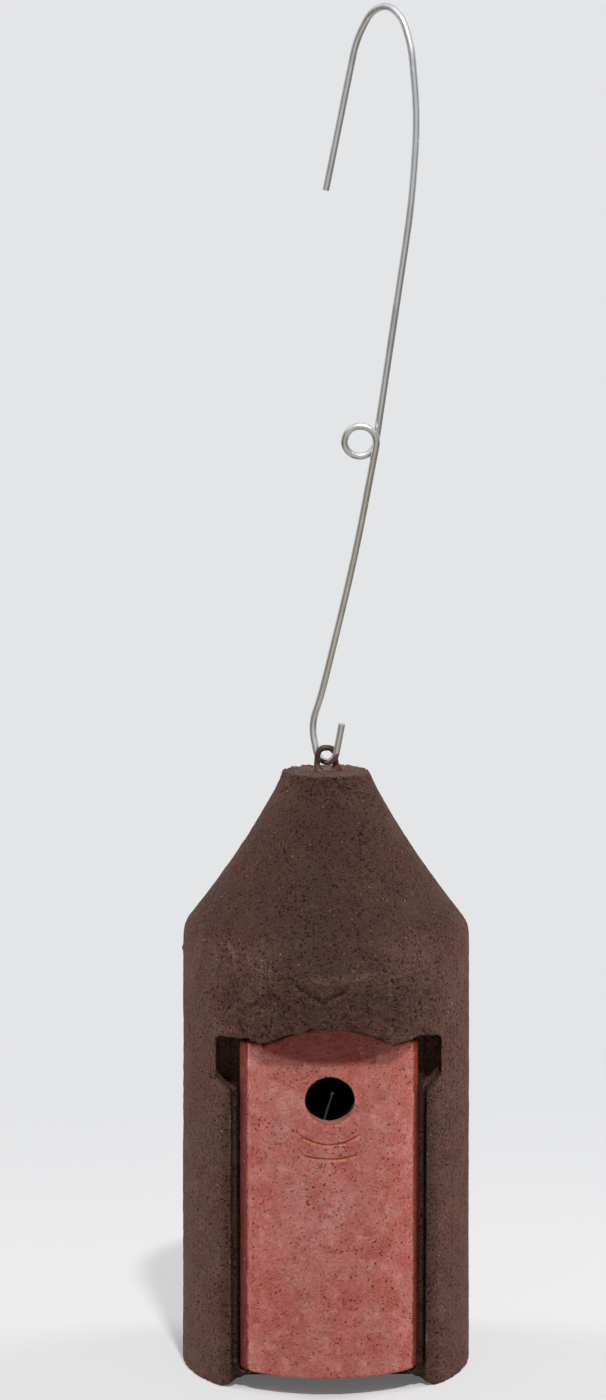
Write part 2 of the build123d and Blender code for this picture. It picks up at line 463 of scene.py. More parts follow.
@dataclass(frozen=True)
class WoodConcrete:
    """Porous cast wood-concrete. What both castings share has its value here."""

    name: str
    ground: Colour
    warm: Colour
    pale: Colour
    # The colour of the pores, and of painted shade.
    pore_and_shade: Colour
    fleck: Colour
    # The colour of chips, and of the panel's painted highlight on the groove lips.
    chip_and_highlight: Colour
    patches: Cloud
    clouds: Cloud
    cloud_share: float
    pores: Spots
    pore_depth: float
    torn_at: float
    sand_share: float
    relief: float
    fleck_share: float
    gloss: float
    roughness: float
    mottle: Cloud = Cloud(5.5, 4.0)
    specks: Cloud = Cloud(2.8, 3.0)
    sand: Cloud = Cloud(1.3, 3.0, Span(0.3, 0.7))
    crumbs: Cloud = Cloud(2.2, 3.0, Span(0.4, 0.6))
    crowd: Cloud = Cloud(15.0, 3.0, Span(0.34, 0.6))
    tears: Cloud = Cloud(1.35, 2.0)
    chip_grain: Cloud = Cloud(2.6, 3.0, Span(0.4, 0.56))
    flecks: Spots = Spots(2.4, 0.4, 0.26)
    spot_shake: Shake = Shake(2.2, 0.42)
    cloud_shake: Shake = Shake(14.0, 5.0)
    tear_shake: Shake = Shake(4.0, 0.5)
    fine_scale: float = 0.6
    fewest_wide: float = 0.5
    fewest_fine: float = 0.25
    crowd_share: float = 0.5
    crowd_tears: float = 0.03
    tear_fade: float = 0.05
    mean_shade: float = 0.82
    mottle_shade: float = 0.5
    mottle_mean: float = 0.45
    speck_share: float = 0.6
    crumb_shade: float = 0.15
    crumb_mean: float = 0.3
    pore_cover: float = 0.85
    mottle_rise: Rise = Rise(0.5, 0.9)
    sand_rise: Rise = Rise(0.45, 0.4)
    crumb_rise: Rise = Rise(0.12, 0.35)
    mottle_dullness: float = 0.2
    pore_dullness: float = 0.1

    def make(self) -> bpy.types.Material:
        """Mixes the material.

        Returns:
            The new material.
        """
        material, mix = new_recipe(self.name)
        mottle, sand, crumbs = mix.grain(self.mottle), mix.grain(self.sand), mix.grain(self.crumbs)
        raw = mix.worn(Mark.RAW)
        ragged = mix.shaken(self.spot_shake)
        pores = self._pores(mix, ragged)
        mean = mottle + self.speck_share * mix.grain(self.specks) - self.mottle_mean
        shade = self.mean_shade + self.mottle_shade * mean + self.sand_share * (sand - MIDDLE)
        shade = shade + self.crumb_shade * raw * (crumbs - self.crumb_mean)
        colour = mix.blend(1.0, self._ground(mix), shade, Way.MULTIPLY)
        colour = mix.blend(mix.spots(self.flecks, ragged) * self.fleck_share, colour, self.fleck)
        # Chips, and on the panel the painted highlight of the groove lips.
        colour = mix.blend(mix.worn(Mark.CHIPS_AND_HIGHLIGHTS) * mix.grain(self.chip_grain), colour, self.chip_and_highlight)
        colour = mix.blend(pores * self.pore_cover, colour, self.pore_and_shade)
        bumps = mottle * self.mottle_rise.at(raw) + sand * self.sand_rise.at(raw)
        bumps = bumps + crumbs * self.crumb_rise.at(raw)
        dullness = self.mottle_dullness * (mottle - MIDDLE) + self.pore_dullness * pores
        mix.surface(
            {
                "Base Color": colour,
                "Roughness": self.roughness + dullness,
                "Specular IOR Level": self.gloss,
                "Normal": mix.raised(bumps * self.relief - pores * self.pore_depth),
            }
        )
        return material

    def _pores(self, mix: Recipe, ragged: Wire) -> Wire:
        """Makes open pores of two sizes and torn places, more of them where they crowd.

        Args:
            mix: the recipe.
            ragged: the shaken point that the pores are looked up at.

        Returns:
            1 inside a pore and 0 outside.
        """
        crowd = mix.grain(self.crowd)
        wide = mix.spots(self.pores, ragged) * (self.fewest_wide + self.crowd_share * crowd)
        fine = mix.spots(self.pores.closer(self.fine_scale), ragged)
        fine = fine * (self.fewest_fine + self.crowd_share * crowd)
        more = self.crowd_tears * crowd
        torn = mix.grain(self.tears, mix.shaken(self.tear_shake))
        torn = torn.between(self.torn_at + more, self.torn_at - self.tear_fade + more)
        return wide.higher(fine).higher(torn)

    def _ground(self, mix: Recipe) -> Wire:
        """Mixes the colour under the grain, with its warm, pale and dark places; the dark places
        also hold painted shade, and the pale ones a painted highlight along the brow's lip.

        Args:
            mix: the recipe.

        Returns:
            The colour.
        """
        clouds = mix.grain(self.clouds, mix.shaken(self.cloud_shake)) * self.cloud_share
        colour = mix.blend(mix.grain(self.patches), self.ground, self.warm)
        colour = mix.blend(mix.worn(Mark.PALE).higher(clouds), colour, self.pale)
        # Dark pits and tones, and painted shade.
        return mix.blend(mix.worn(Mark.DARK_AND_SHADE), colour, self.pore_and_shade)


@dataclass(frozen=True)
class Paint:
    """Glossy paint over wire, thick at its foot, with some dust on it."""

    name: str
    ground: Colour
    warm: Colour
    dusty: Colour
    roughness: float
    shades: Cloud = Cloud(4.5, 2.0, Span(0.4, 0.62))
    dust: Cloud = Cloud(1.1, 3.0, Span(0.6, 0.72))
    runs: Cloud = Cloud(3.2, 3.0)
    grit: Cloud = Cloud(0.8, 2.0)
    dust_cover: float = 0.3
    dust_dullness: float = 0.25
    run_dullness: float = 0.12
    gloss: float = 0.22
    coat: float = 0.09
    dust_on_coat: float = 0.06
    coat_roughness: float = 0.22
    run_height: float = 0.5
    grit_height: float = 0.06

    def make(self) -> bpy.types.Material:
        """Mixes the material.

        Returns:
            The new material.
        """
        material, mix = new_recipe(self.name)
        runs, dust = mix.grain(self.runs), mix.grain(self.dust)
        colour = mix.blend(mix.grain(self.shades), self.ground, self.warm)
        colour = mix.blend(dust * self.dust_cover, colour, self.dusty)
        dullness = self.dust_dullness * dust + self.run_dullness * (runs - MIDDLE)
        height = runs * self.run_height + mix.grain(self.grit) * self.grit_height
        mix.surface(
            {
                "Base Color": colour,
                "Roughness": self.roughness + dullness,
                "Specular IOR Level": self.gloss,
                "Coat Weight": self.coat - self.dust_on_coat * dust,
                "Coat Roughness": self.coat_roughness,
                "Normal": mix.raised(height),
            }
        )
        return material


@dataclass(frozen=True)
class BareMetal:
    """Drawn or zinc-coated metal with its small crystals, scuffs and dull places."""

    name: str
    ground: Colour
    dull: Colour
    grime: Colour
    crystal: float
    roughness: float
    drawn_share: float = 0.09
    dull_places: Cloud = Cloud(24.0, 3.0, Span(0.46, 0.66))
    grimy_places: Cloud = Cloud(3.4, 4.0, Span(0.6, 0.74))
    scuffs: Cloud = Cloud(0.7, 2.0)
    dull_cover: float = 0.7
    grime_cover: float = 0.3
    darkest_crystal: float = 0.94
    crystal_shade: float = 0.1
    grime_on_metal: float = 0.2
    crystal_roughness: float = 0.05
    dull_roughness: float = 0.1
    grime_roughness: float = 0.15
    scuff_height: float = 0.006

    def make(self) -> bpy.types.Material:
        """Mixes the material.

        Returns:
            The new material.
        """
        material, mix = new_recipe(self.name)
        drawn = mix.stretched(self.drawn_share)
        _, crystals = mix.cells(self.crystal, drawn, "Green")
        dull, grime = mix.grain(self.dull_places), mix.grain(self.grimy_places)
        shade = self.darkest_crystal + self.crystal_shade * crystals
        colour = mix.blend(dull * self.dull_cover, self.ground, self.dull)
        colour = mix.blend(1.0, colour, shade, Way.MULTIPLY)
        colour = mix.blend(grime * self.grime_cover, colour, self.grime)
        roughness = self.roughness + self.crystal_roughness * crystals + self.dull_roughness * dull
        mix.surface(
            {
                "Base Color": colour,
                "Metallic": 1.0 - self.grime_on_metal * grime,
                "Roughness": roughness + self.grime_roughness * grime,
                "Normal": mix.raised(mix.grain(self.scuffs, drawn) * self.scuff_height),
            }
        )
        return material


BROWN = WoodConcrete(
    name="brown_wood_concrete",
    ground=seen(83, 59, 51),
    warm=seen(84, 55, 48),
    pale=seen(122, 90, 76),
    pore_and_shade=seen(24, 14, 12),
    fleck=seen(132, 106, 94),
    chip_and_highlight=seen(164, 134, 124),
    patches=Cloud(30.0, 6.0, Span(0.38, 0.62)),
    clouds=Cloud(16.5, 8.0, Span(0.5, 0.66)),
    cloud_share=0.12,
    pores=Spots(2.2, 0.75, 0.44),
    pore_depth=0.7,
    torn_at=0.37,
    sand_share=0.36,
    relief=0.85,
    fleck_share=0.8,
    gloss=0.13,
    roughness=0.72,
)
RED = WoodConcrete(
    name="red_wood_concrete",
    ground=seen(170, 103, 94),
    warm=seen(164, 90, 81),
    pale=seen(186, 134, 127),
    pore_and_shade=seen(100, 40, 32),
    fleck=seen(204, 146, 134),
    chip_and_highlight=seen(206, 118, 84),
    patches=Cloud(15.0, 6.0, Span(0.38, 0.62)),
    clouds=Cloud(8.25, 8.0, Span(0.5, 0.66)),
    cloud_share=0.42,
    pores=Spots(2.9, 0.4, 0.34),
    pore_depth=0.5,
    torn_at=0.345,
    sand_share=0.2,
    relief=0.6,
    fleck_share=0.55,
    gloss=0.06,
    roughness=0.8,
)
EYE_PAINT = Paint(
    name="brown_paint",
    ground=seen(58, 37, 33),
    warm=seen(82, 48, 38),
    dusty=seen(104, 78, 66),
    roughness=0.42,
)
ZINC = BareMetal(
    name="galvanised_wire",
    ground=(0.7, 0.7, 0.7),
    dull=(0.56, 0.55, 0.54),
    grime=(0.2, 0.17, 0.14),
    crystal=2.6,
    roughness=0.2,
)
ALUMINIUM = BareMetal(
    name="drawn_aluminium",
    ground=(0.62, 0.63, 0.65),
    dull=(0.5, 0.5, 0.51),
    grime=(0.2, 0.19, 0.18),
    crystal=1.4,
    roughness=0.3,
)


# Geometry.


@dataclass(frozen=True)
class Swell:
    """A soft swelling along one measure, highest in its middle."""

    middle: float
    spread: float

    def gap(self, values: np.ndarray) -> np.ndarray:
        """Returns how far values lie from the middle, in spreads and squared."""
        return ((values - self.middle) / self.spread) ** 2


def swollen(*gaps: np.ndarray) -> np.ndarray:
    """Returns 1 where all the gaps are 0, and less the larger they are."""
    return np.exp(-sum(gaps))


class Grit:
    """Repeatable noise in space, from a whole-number hash, over points in millimetres."""

    layer_share: float = 0.55
    layer_shift: float = 31.7
    seed_shift: float = 0.37
    smallest_pit: float = 0.45
    cell_stirrers: tuple[int, ...] = (73856093, 19349663, 83492791)
    seed_stirrer: int = 7919
    salt_stirrer: int = 104729
    seed_bits: int = 0xFFFFFFFF
    bit_stirrers: tuple[tuple[int, int], ...] = ((13, 1274126177), (16, 2246822519))
    last_shift: int = 15
    largest_draw: int = 0xFFFFFF
    centre_salts: tuple[int, ...] = (1, 2, 3)
    size_salt: int = 4

    def __init__(self, seed: int) -> None:
        """Keeps the seed."""
        self.seed = seed

    def _draw(self, cells: np.ndarray, salt: int = 0) -> np.ndarray:
        """Draws numbers that depend on the seed and the cell alone, by mixing bits.

        Args:
            cells: whole numbers, one row of three each.
            salt: tells several numbers for one cell apart.

        Returns:
            One number from 0 to 1 for each cell.
        """
        whole = cells.astype(np.int64).astype(np.uint64)
        start = (self.seed * self.seed_stirrer + salt * self.salt_stirrer) & self.seed_bits
        mixed = np.full(len(cells), start, np.uint64)
        for column, stirrer in zip(whole.T, self.cell_stirrers):
            mixed ^= column * np.uint64(stirrer)
        for shift, stirrer in self.bit_stirrers:
            mixed = (mixed ^ (mixed >> np.uint64(shift))) * np.uint64(stirrer)
        mixed ^= mixed >> np.uint64(self.last_shift)
        return (mixed & np.uint64(self.largest_draw)).astype(float) / self.largest_draw

    def lumps(self, points: np.ndarray, size: float) -> np.ndarray:
        """Makes soft lumps.

        Args:
            points: places in millimetres, one row each.
            size: how far apart the lumps lie.

        Returns:
            A value from 0 to 1 for each point.
        """
        place = points / size + self.seed * self.seed_shift
        corner = np.floor(place)
        share = eased(place - corner)
        total = np.zeros(len(points))
        for step in np.ndindex(2, 2, 2):
            offset = np.array(step)
            weight = np.prod(np.where(offset == 1, share, 1 - share), axis=1)
            total += weight * self._draw(corner + offset)
        return total

    def rough(self, points: np.ndarray, size: float, layers: int = 3) -> np.ndarray:
        """Makes lumps with finer lumps on them.

        Args:
            points: places in millimetres, one row each.
            size: how far apart the largest lumps lie.
            layers: how many sizes of lumps there are.

        Returns:
            A value from 0 to 1 for each point.
        """
        total = np.zeros(len(points))
        weight_sum = 0.0
        for layer in range(layers):
            weight = self.layer_share**layer
            total += weight * self.lumps(points + self.layer_shift * layer, size / 2**layer)
            weight_sum += weight
        return total / weight_sum

    def pits(self, points: np.ndarray, size: float, share: float, radius: float) -> np.ndarray:
        """Makes round pits, as pores leave in a casting.

        Args:
            points: places in millimetres.
            size: the distance between the places that may hold a pit.
            share: the share of them that hold one.
            radius: the largest pit's radius in millimetres.

        Returns:
            1 in the middle of a pit and 0 outside.
        """
        place = points / size
        corner = np.floor(place)
        deepest = np.zeros(len(points))
        for step in np.ndindex(3, 3, 3):
            cell = corner + np.array(step) - 1
            shifts = [self._draw(cell, salt) for salt in self.centre_salts]
            centre = cell + np.stack(shifts, axis=1)
            draw = self._draw(cell, self.size_salt)
            reach = radius / size * (self.smallest_pit + (1 - self.smallest_pit) * draw / share)
            gap = np.linalg.norm(place - centre, axis=1)
            depth = np.clip(1 - (gap / reach) ** 2, 0, 1) * (draw < share)
            deepest = np.maximum(deepest, depth)
        return deepest


@dataclass(frozen=True)
class Lumps:
    """Rough lumps in a surface: how deep, how far apart and in how many sizes."""

    depth: float
    size: float
    layers: int = 3

    def over(self, points: np.ndarray, grit: Grit) -> np.ndarray:
        """Returns the lumps' depth in millimetres at each point."""
        return self.depth * grit.rough(points, self.size, self.layers)


@dataclass(frozen=True)
class Patches:
    """Rough patches on a surface: how far apart, in how many sizes and where they fade in."""

    size: float
    layers: int
    edge: Span

    def over(self, points: np.ndarray, grit: Grit) -> np.ndarray:
        """Returns 1 inside the patches and 0 outside at each point."""
        return self.edge.of(grit.rough(points, self.size, self.layers))


def linked(name: str, mesh: bpy.types.Mesh) -> bpy.types.Object:
    """Links a mesh into the scene.

    Args:
        name: the new object's name.
        mesh: its mesh.

    Returns:
        The new object.
    """
    piece = bpy.data.objects.new(name, mesh)
    bpy.context.scene.collection.objects.link(piece)
    return piece


def apply_modifiers(piece: bpy.types.Object) -> None:
    """Turns a piece's modifiers into its own mesh.

    Args:
        piece: the piece, which gets a new mesh.
    """
    depsgraph = bpy.context.evaluated_depsgraph_get()
    made = bpy.data.meshes.new_from_object(piece.evaluated_get(depsgraph))
    old = piece.data
    piece.modifiers.clear()
    piece.data = made
    bpy.data.meshes.remove(old)


def coat(piece: bpy.types.Object, material: bpy.types.Material) -> None:
    """Gives a new piece its one finish and smooth shading.

    Args:
        piece: the piece, which has no finish yet.
        material: its finish.
    """
    piece.data.materials.append(material)
    piece.data.polygons.foreach_set("use_smooth", [True] * len(piece.data.polygons))


class Skin:
    """A closed mesh held as arrays, so that a whole surface is worn in one step."""

    relax_share: float = 0.6
    edge_gain: float = 5.0
    edge_limit: float = 1.4
    edge_rounds: int = 2

    def __init__(
        self, node: str, name: str, voxel: float, extra: Union[bpy.types.Mesh, None] = None
    ) -> None:
        """Copies a solid of the frame and gives it even, small faces.

        Args:
            node: the solid's name in the frame.
            name: the new piece's name.
            voxel: the size of its faces in millimetres.
            extra: a closed mesh that is fused with the solid, if any.
        """
        self.voxel = voxel
        self.piece = linked(name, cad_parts[node].data.copy())
        self.piece.data.materials.clear()
        if extra:
            work = bmesh.new()
            work.from_mesh(self.piece.data)
            work.from_mesh(extra)
            work.to_mesh(self.piece.data)
            work.free()
            bpy.data.meshes.remove(extra)
        remesh = self.piece.modifiers.new("even_faces", "REMESH")
        remesh.mode = "VOXEL"
        remesh.voxel_size = voxel * MM
        apply_modifiers(self.piece)
        self._read_mesh()

    def _read_mesh(self) -> None:
        """Reads the points and edges of the mesh as it is now."""
        mesh = self.piece.data
        count = len(mesh.vertices)
        self.edges = np.zeros(len(mesh.edges) * 2, np.int64)
        mesh.edges.foreach_get("vertices", self.edges)
        self.edges = self.edges.reshape(-1, 2)
        self.valence = np.bincount(self.edges.ravel(), minlength=count).clip(1)[:, None]
        points = np.zeros(count * 3)
        mesh.vertices.foreach_get("co", points)
        self.points = points.reshape(-1, 3) / MM
        self.normals = self.read_normals()

    def refine(self, chosen: np.ndarray, cuts: int) -> None:
        """Divides the faces whose points are all chosen into smaller ones.

        Args:
            chosen: whether each point is chosen.
            cuts: how often each edge between them is cut.
        """
        work = bmesh.new()
        work.from_mesh(self.piece.data)
        work.verts.ensure_lookup_table()
        edges = [edge for edge in work.edges if all(chosen[vert.index] for vert in edge.verts)]
        bmesh.ops.subdivide_edges(work, edges=edges, cuts=cuts, use_grid_fill=True)
        work.to_mesh(self.piece.data)
        work.free()
        self._read_mesh()

    def read_normals(self) -> np.ndarray:
        """Writes the points back to the mesh and reads its normals.

        Returns:
            The normal at each point.
        """
        mesh = self.piece.data
        mesh.vertices.foreach_set("co", (self.points * MM).ravel())
        mesh.update()
        normals = np.zeros(len(mesh.vertices) * 3)
        mesh.vertices.foreach_get("normal", normals)
        return normals.reshape(-1, 3)

    def nearby(self, values: np.ndarray) -> np.ndarray:
        """Takes the mean of each point's neighbours.

        Args:
            values: one value or one row for each point.

        Returns:
            The means, in the same form.
        """
        columns = values.reshape(len(values), -1)
        first, second = self.edges.T
        sums = []
        for column in columns.T:
            from_second = np.bincount(first, column[second], len(column))
            from_first = np.bincount(second, column[first], len(column))
            sums.append(from_second + from_first)
        return (np.stack(sums, axis=1) / self.valence).reshape(values.shape)

    def softened(self, values: np.ndarray, rounds: int) -> np.ndarray:
        """Spreads values over their neighbours.

        Args:
            values: one value for each point.
            rounds: how often they are spread.

        Returns:
            The softer values.
        """
        for _ in range(rounds):
            values = (values + self.nearby(values)) / 2
        return values

    def relax(self, share: np.ndarray, rounds: int) -> None:
        """Smooths the shape.

        Args:
            share: how much each point takes part, from 0 to 1.
            rounds: how often the points move towards their neighbours.
        """
        weight = share[:, None] * self.relax_share
        for _ in range(rounds):
            self.points += weight * (self.nearby(self.points) - self.points)
        self.normals = self.read_normals()

    def edginess(self) -> np.ndarray:
        """Finds the outward edges.

        Returns:
            How sharply the surface turns outwards at each point, about 1 on a square edge.
        """
        lean = np.sum((self.points - self.nearby(self.points)) * self.normals, axis=1)
        sharpness = np.clip(lean / self.voxel * self.edge_gain, 0.0, self.edge_limit)
        return self.softened(sharpness, self.edge_rounds)

    def sink(self, depth: np.ndarray) -> None:
        """Moves the surface inwards by a depth in millimetres."""
        self.points -= self.normals * depth[:, None]
        self.normals = self.read_normals()

    def keep_above(self, height: float) -> None:
        """Lifts the points that lie under a height to it."""
        self.points[:, 2] = self.points[:, 2].clip(height)
        self.normals = self.read_normals()

    def mark(self, mark: Mark, values: np.ndarray) -> None:
        """Stores a value from 0 to 1 at each point.

        Args:
            mark: what the values say of the surface.
            values: one value for each point.
        """
        layer = self.piece.data.attributes.new(mark.value, "FLOAT", "POINT")
        layer.data.foreach_set("value", np.clip(values, 0.0, 1.0))

    def finished(self, material: bpy.types.Material) -> bpy.types.Object:
        """Thins the mesh to the limit, shades it smooth and dresses it.

        Args:
            material: the piece's finish.

        Returns:
            The finished piece.
        """
        triangles = sum(len(face.vertices) - 2 for face in self.piece.data.polygons)
        if triangles > TRIANGLE_LIMIT:
            thin = self.piece.modifiers.new("thin", "DECIMATE")
            thin.ratio = TRIANGLE_LIMIT / triangles
            apply_modifiers(self.piece)
        coat(self.piece, material)
        return self.piece


@dataclass
class BodyWear:
    """How the body is worn before it is sunk in, with one value for each point."""

    outside: np.ndarray
    lip_gap: np.ndarray
    break_gap: np.ndarray
    in_front: np.ndarray
    raw: np.ndarray
    edge: np.ndarray
    top: np.ndarray
    rim: np.ndarray
    pits: np.ndarray


@dataclass
class CastBody:
    """The brown casting, worn and porous, with its rough brow."""

    voxel: float = 1.3
    seed: int = 11
    pit_seed: int = 5
    chamber_radius: float = 61.0
    chamber_floor: float = 27.0
    chamber_top: float = 234.0
    roof_slope: float = 0.8148
    roof_space_top: float = 289.0
    lip_span: tuple[float, ...] = (0.0, 16.0, 26.0, 36.0, 50.0, 60.0, 80.0)
    lip_heights: tuple[float, ...] = (232.5, 234.5, 237.0, 238.0, 238.0, 236.5, 236.0)

    # The corners that are rounded off.
    crease_front: Span = Span(-20.0, -50.0)
    crease_foot: Span = Span(240.0, 250.0)
    crease_head: Span = Span(328.0, 318.0)
    crease_rounds: int = 60
    shoulder_height: float = 245.0
    shoulder_reach: Span = Span(12.0, 3.0)
    shoulder_radius: float = 68.0
    shoulder_rounds: int = 30
    lip_reach: Span = Span(19.0, 8.0)
    lip_front: Span = Span(-38.0, -50.0)
    lip_sides: Span = Span(6.0, 30.0)
    lip_share_in_middle: float = 0.12
    lip_rounds: int = 120

    # Where the faces are divided for finer detail.
    fine_front: float = -46.0
    fine_low: float = 188.0
    fine_high: float = 246.0
    fine_radius: float = 70.0
    fine_top: float = 320.5

    # The broken face of the brow.
    break_span: tuple[float, ...] = (-64.0, -54.0, -38.0, -23.0, -3.3, 8.0, 16.0, 28.0, 50.0, 64.0)
    break_heights: tuple[float, ...] = (
        247.0, 245.5, 240.0, 235.0, 224.0, 230.5, 235.0, 238.0, 241.0, 242.0,
    )
    break_wander: float = 5.0
    side_wander: float = 3.0
    wander_sides: Span = Span(14.0, 34.0)
    wander_size: float = 6.0
    break_fade: float = 1.5
    right_fade: float = 7.0
    right_side: Span = Span(14.0, 40.0)
    brow_front: Span = Span(-44.0, -58.0)
    brow_radius: float = 70.0
    broken: Span = Span(0.5, -0.7)
    brow_foot: Span = Span(190.0, 195.0)
    brow_ends: Span = Span(74.0, 58.0)
    raw_rounds: int = 2
    crags: Lumps = Lumps(2.8, 7.5, 2)
    splinters: Lumps = Lumps(1.6, 2.6, 2)
    crag_level: float = 1.3
    hollow_depth: float = 1.1
    hollow_side: Swell = Swell(24.0, 13.0)
    hollow_height: Swell = Swell(216.0, 11.0)
    groove_depth: float = 1.3
    groove_under_break: Swell = Swell(-2.6, 2.5)
    groove_middle: float = -17.0
    groove_ends: Span = Span(34.0, 20.0)

    # The cast surface, its top and its pits.
    wave_depth: float = 0.3
    wave_size: float = 38.0
    dents: Lumps = Lumps(0.25, 11.0)
    grain: Lumps = Lumps(0.5, 3.4, 2)
    cast_level: float = 0.4
    edge_grit: float = 4.5
    top_edge: Span = Span(322.5, 329.5)
    rim_radius: Span = Span(18.0, 22.5)
    rim_depth: float = 3.2
    rim_grit: float = 3.2
    rim_level: float = 0.38
    top_depth: float = 0.7
    top_grit: float = 5.0
    pit_spacing: float = 5.2
    pit_share: float = 0.5
    pit_radius: float = 1.5
    pitted_below: Span = Span(329.0, 326.0)
    pit_depth: float = 0.5
    raw_pit_depth: float = 0.8
    nub: Point = (-78.9, -2.0, 233.0)
    nub_size: Point = (2.5, 1.6, 1.2)
    nub_rise: float = 0.9

    # The pale chips of the edges.
    sparse: Patches = Patches(7.0, 2, Span(0.5, 0.72))
    chip_share: float = 1.5
    chipped_from: float = 0.42
    chipped_below: Span = Span(215.0, 150.0)
    rim_chips: float = 0.4
    break_line: float = -1.0
    break_line_reach: Span = Span(3.4, 0.6)
    break_line_start: Span = Span(-8.0, -24.0)
    break_line_end: Span = Span(-62.0, -54.0)
    break_line_chips: float = 0.17

    # The painted highlight along the lip, in scuffed patches, and the paler top.
    lip_highlight_line: float = 1.0
    lip_highlight_reach: Span = Span(3.2, 0.4)
    lip_highlight_sides: Span = Span(30.0, 12.0)
    lip_highlight_front: Span = Span(-80.0, -90.0)
    scuffs: Patches = Patches(4.0, 3, Span(0.25, 0.6))
    pale_share: float = 0.5
    level_face: Span = Span(0.75, 0.95)
    level_from: Span = Span(329.0, 330.5)
    level_share: float = 0.6

    # The darker cone, darkest at its front, the painted shade of the recess behind the panel and
    # the dark pits.
    cone_foot: Span = Span(236.0, 258.0)
    brow_cone_foot: Span = Span(222.0, 240.0)
    brow_cone_front: Span = Span(-70.0, -84.0)
    cone_back: Span = Span(40.0, -40.0)
    cone_least: float = 0.35
    cone_more: float = 0.65
    cone_share: float = 0.42
    recess_shade_radius: Span = Span(79.0, 77.5)
    recess_shade_head: Span = Span(194.5, 193.0)
    recess_shade_front: Span = Span(-40.0, -48.0)
    recess_shade_least: float = 0.15
    recess_shade_more: float = 0.6
    recess_shade_side: Span = Span(53.4, 52.4)
    dark_pit_from: float = 0.4
    dark_pit_share: float = 0.5
    raw_share: float = 0.05

    def build(self) -> bpy.types.Object:
        """Builds the body.

        Returns:
            The finished body.
        """
        skin = Skin("body", "cast_body", self.voxel)
        grit = Grit(self.seed)
        self._round_off(skin)
        wear = self._look_over(skin, grit)
        skin.sink(self._depth(skin, grit, wear))
        skin.keep_above(0.0)
        skin.mark(Mark.CHIPS_AND_HIGHLIGHTS, self._chipped(skin, grit, wear))
        skin.mark(Mark.RAW, wear.raw)
        skin.mark(Mark.PALE, self._scuffed(skin, grit, wear))
        skin.mark(Mark.DARK_AND_SHADE, self._darkened(skin, wear))
        return skin.finished(BROWN.make())

    def _round_off(self, skin: Skin) -> None:
        """Softens the creases of the solid, then divides the faces of the brow and the top.

        Args:
            skin: the body's surface.
        """
        x, y, z = skin.points.T
        crease = self.crease_front.of(y) * self.crease_foot.of(z) * self.crease_head.of(z)
        skin.relax(crease, self.crease_rounds)
        shoulder = self.shoulder_reach.of(np.abs(z - self.shoulder_height))
        skin.relax(shoulder * (np.hypot(x, y) > self.shoulder_radius), self.shoulder_rounds)
        at_lip = self.lip_reach.of(np.abs(self._over_lip(x, z))) * self.lip_front.of(y)
        along = np.maximum(self.lip_sides.of(np.abs(x)), self.lip_share_in_middle)
        skin.relax(along * at_lip, self.lip_rounds)
        brow = (y < self.fine_front) & (z > self.fine_low) & (z < self.fine_high)
        brow &= np.hypot(x, y) > self.fine_radius
        skin.refine(brow | (z > self.fine_top), 1)

    def _over_lip(self, x: np.ndarray, z: np.ndarray) -> np.ndarray:
        """Returns how far points lie over the lower lip of the brow."""
        return z - np.interp(np.abs(x), self.lip_span, self.lip_heights)

    def _look_over(self, skin: Skin, grit: Grit) -> BodyWear:
        """Finds where the body is broken, edged, rimmed and pitted.

        Args:
            skin: the body's surface, before it is sunk in.
            grit: the body's noise.

        Returns:
            The wear of each point.
        """
        x, y, z = skin.points.T
        radius = np.hypot(x, y)
        roof = self.chamber_radius - np.clip(z - self.chamber_top, 0, None) * self.roof_slope
        inside = (radius < roof) & (z > self.chamber_floor) & (z < self.roof_space_top)
        wander = self.break_wander + self.side_wander * self.wander_sides.of(np.abs(x))
        wander *= grit.rough(skin.points, self.wander_size) - MIDDLE
        break_gap = z - np.interp(x, self.break_span, self.break_heights) + wander
        fade = self.break_fade + self.right_fade * self.right_side.of(x)
        in_front = self.brow_front.of(y) * (radius > self.brow_radius)
        raw = in_front * self.broken.of(break_gap / fade)
        raw *= self.brow_foot.of(z) * self.brow_ends.of(np.abs(x))
        top = self.top_edge.of(z)
        pits = Grit(self.pit_seed).pits(
            skin.points, self.pit_spacing, self.pit_share, self.pit_radius
        )
        return BodyWear(
            outside=np.where(inside, 0.0, 1.0),
            lip_gap=self._over_lip(x, z),
            break_gap=break_gap,
            in_front=in_front,
            raw=skin.softened(raw, self.raw_rounds),
            edge=skin.edginess(),
            top=top,
            rim=top * self.rim_radius.of(radius),
            pits=pits * self.pitted_below.of(z),
        )

    def _depth(self, skin: Skin, grit: Grit, wear: BodyWear) -> np.ndarray:
        """Works out how deep the worn surface lies under the solid's.

        Args:
            skin: the body's surface.
            grit: the body's noise.
            wear: the wear of each point.

        Returns:
            The depth of each point in millimetres.
        """
        points = skin.points
        x, _, z = points.T
        depth = self.wave_depth * grit.lumps(points, self.wave_size)
        depth += self.dents.over(points, grit)
        depth += self.grain.over(points, grit) - self.cast_level
        crags = self.crags.over(points, grit) + self.splinters.over(points, grit)
        depth += wear.raw * (crags - self.crag_level)
        hollow = swollen(self.hollow_side.gap(np.abs(x))) * swollen(self.hollow_height.gap(z))
        depth += wear.raw * self.hollow_depth * hollow
        groove = swollen(self.groove_under_break.gap(wear.break_gap))
        groove = wear.in_front * self.groove_depth * groove
        depth += groove * self.groove_ends.of(np.abs(x - self.groove_middle))
        depth += wear.edge * grit.rough(points, self.edge_grit) ** 2
        rim = wear.rim * self.rim_depth * (grit.rough(points, self.rim_grit) - self.rim_level)
        depth += rim + self.top_depth * wear.top * grit.rough(points, self.top_grit)
        depth += wear.pits * (self.pit_depth + self.raw_pit_depth * wear.raw)
        from_nub = (points - np.array(self.nub)) / np.array(self.nub_size)
        nub = np.exp(-(np.linalg.norm(from_nub, axis=1) ** 2))
        return (np.clip(depth, 0.0, None) - self.nub_rise * nub) * wear.outside

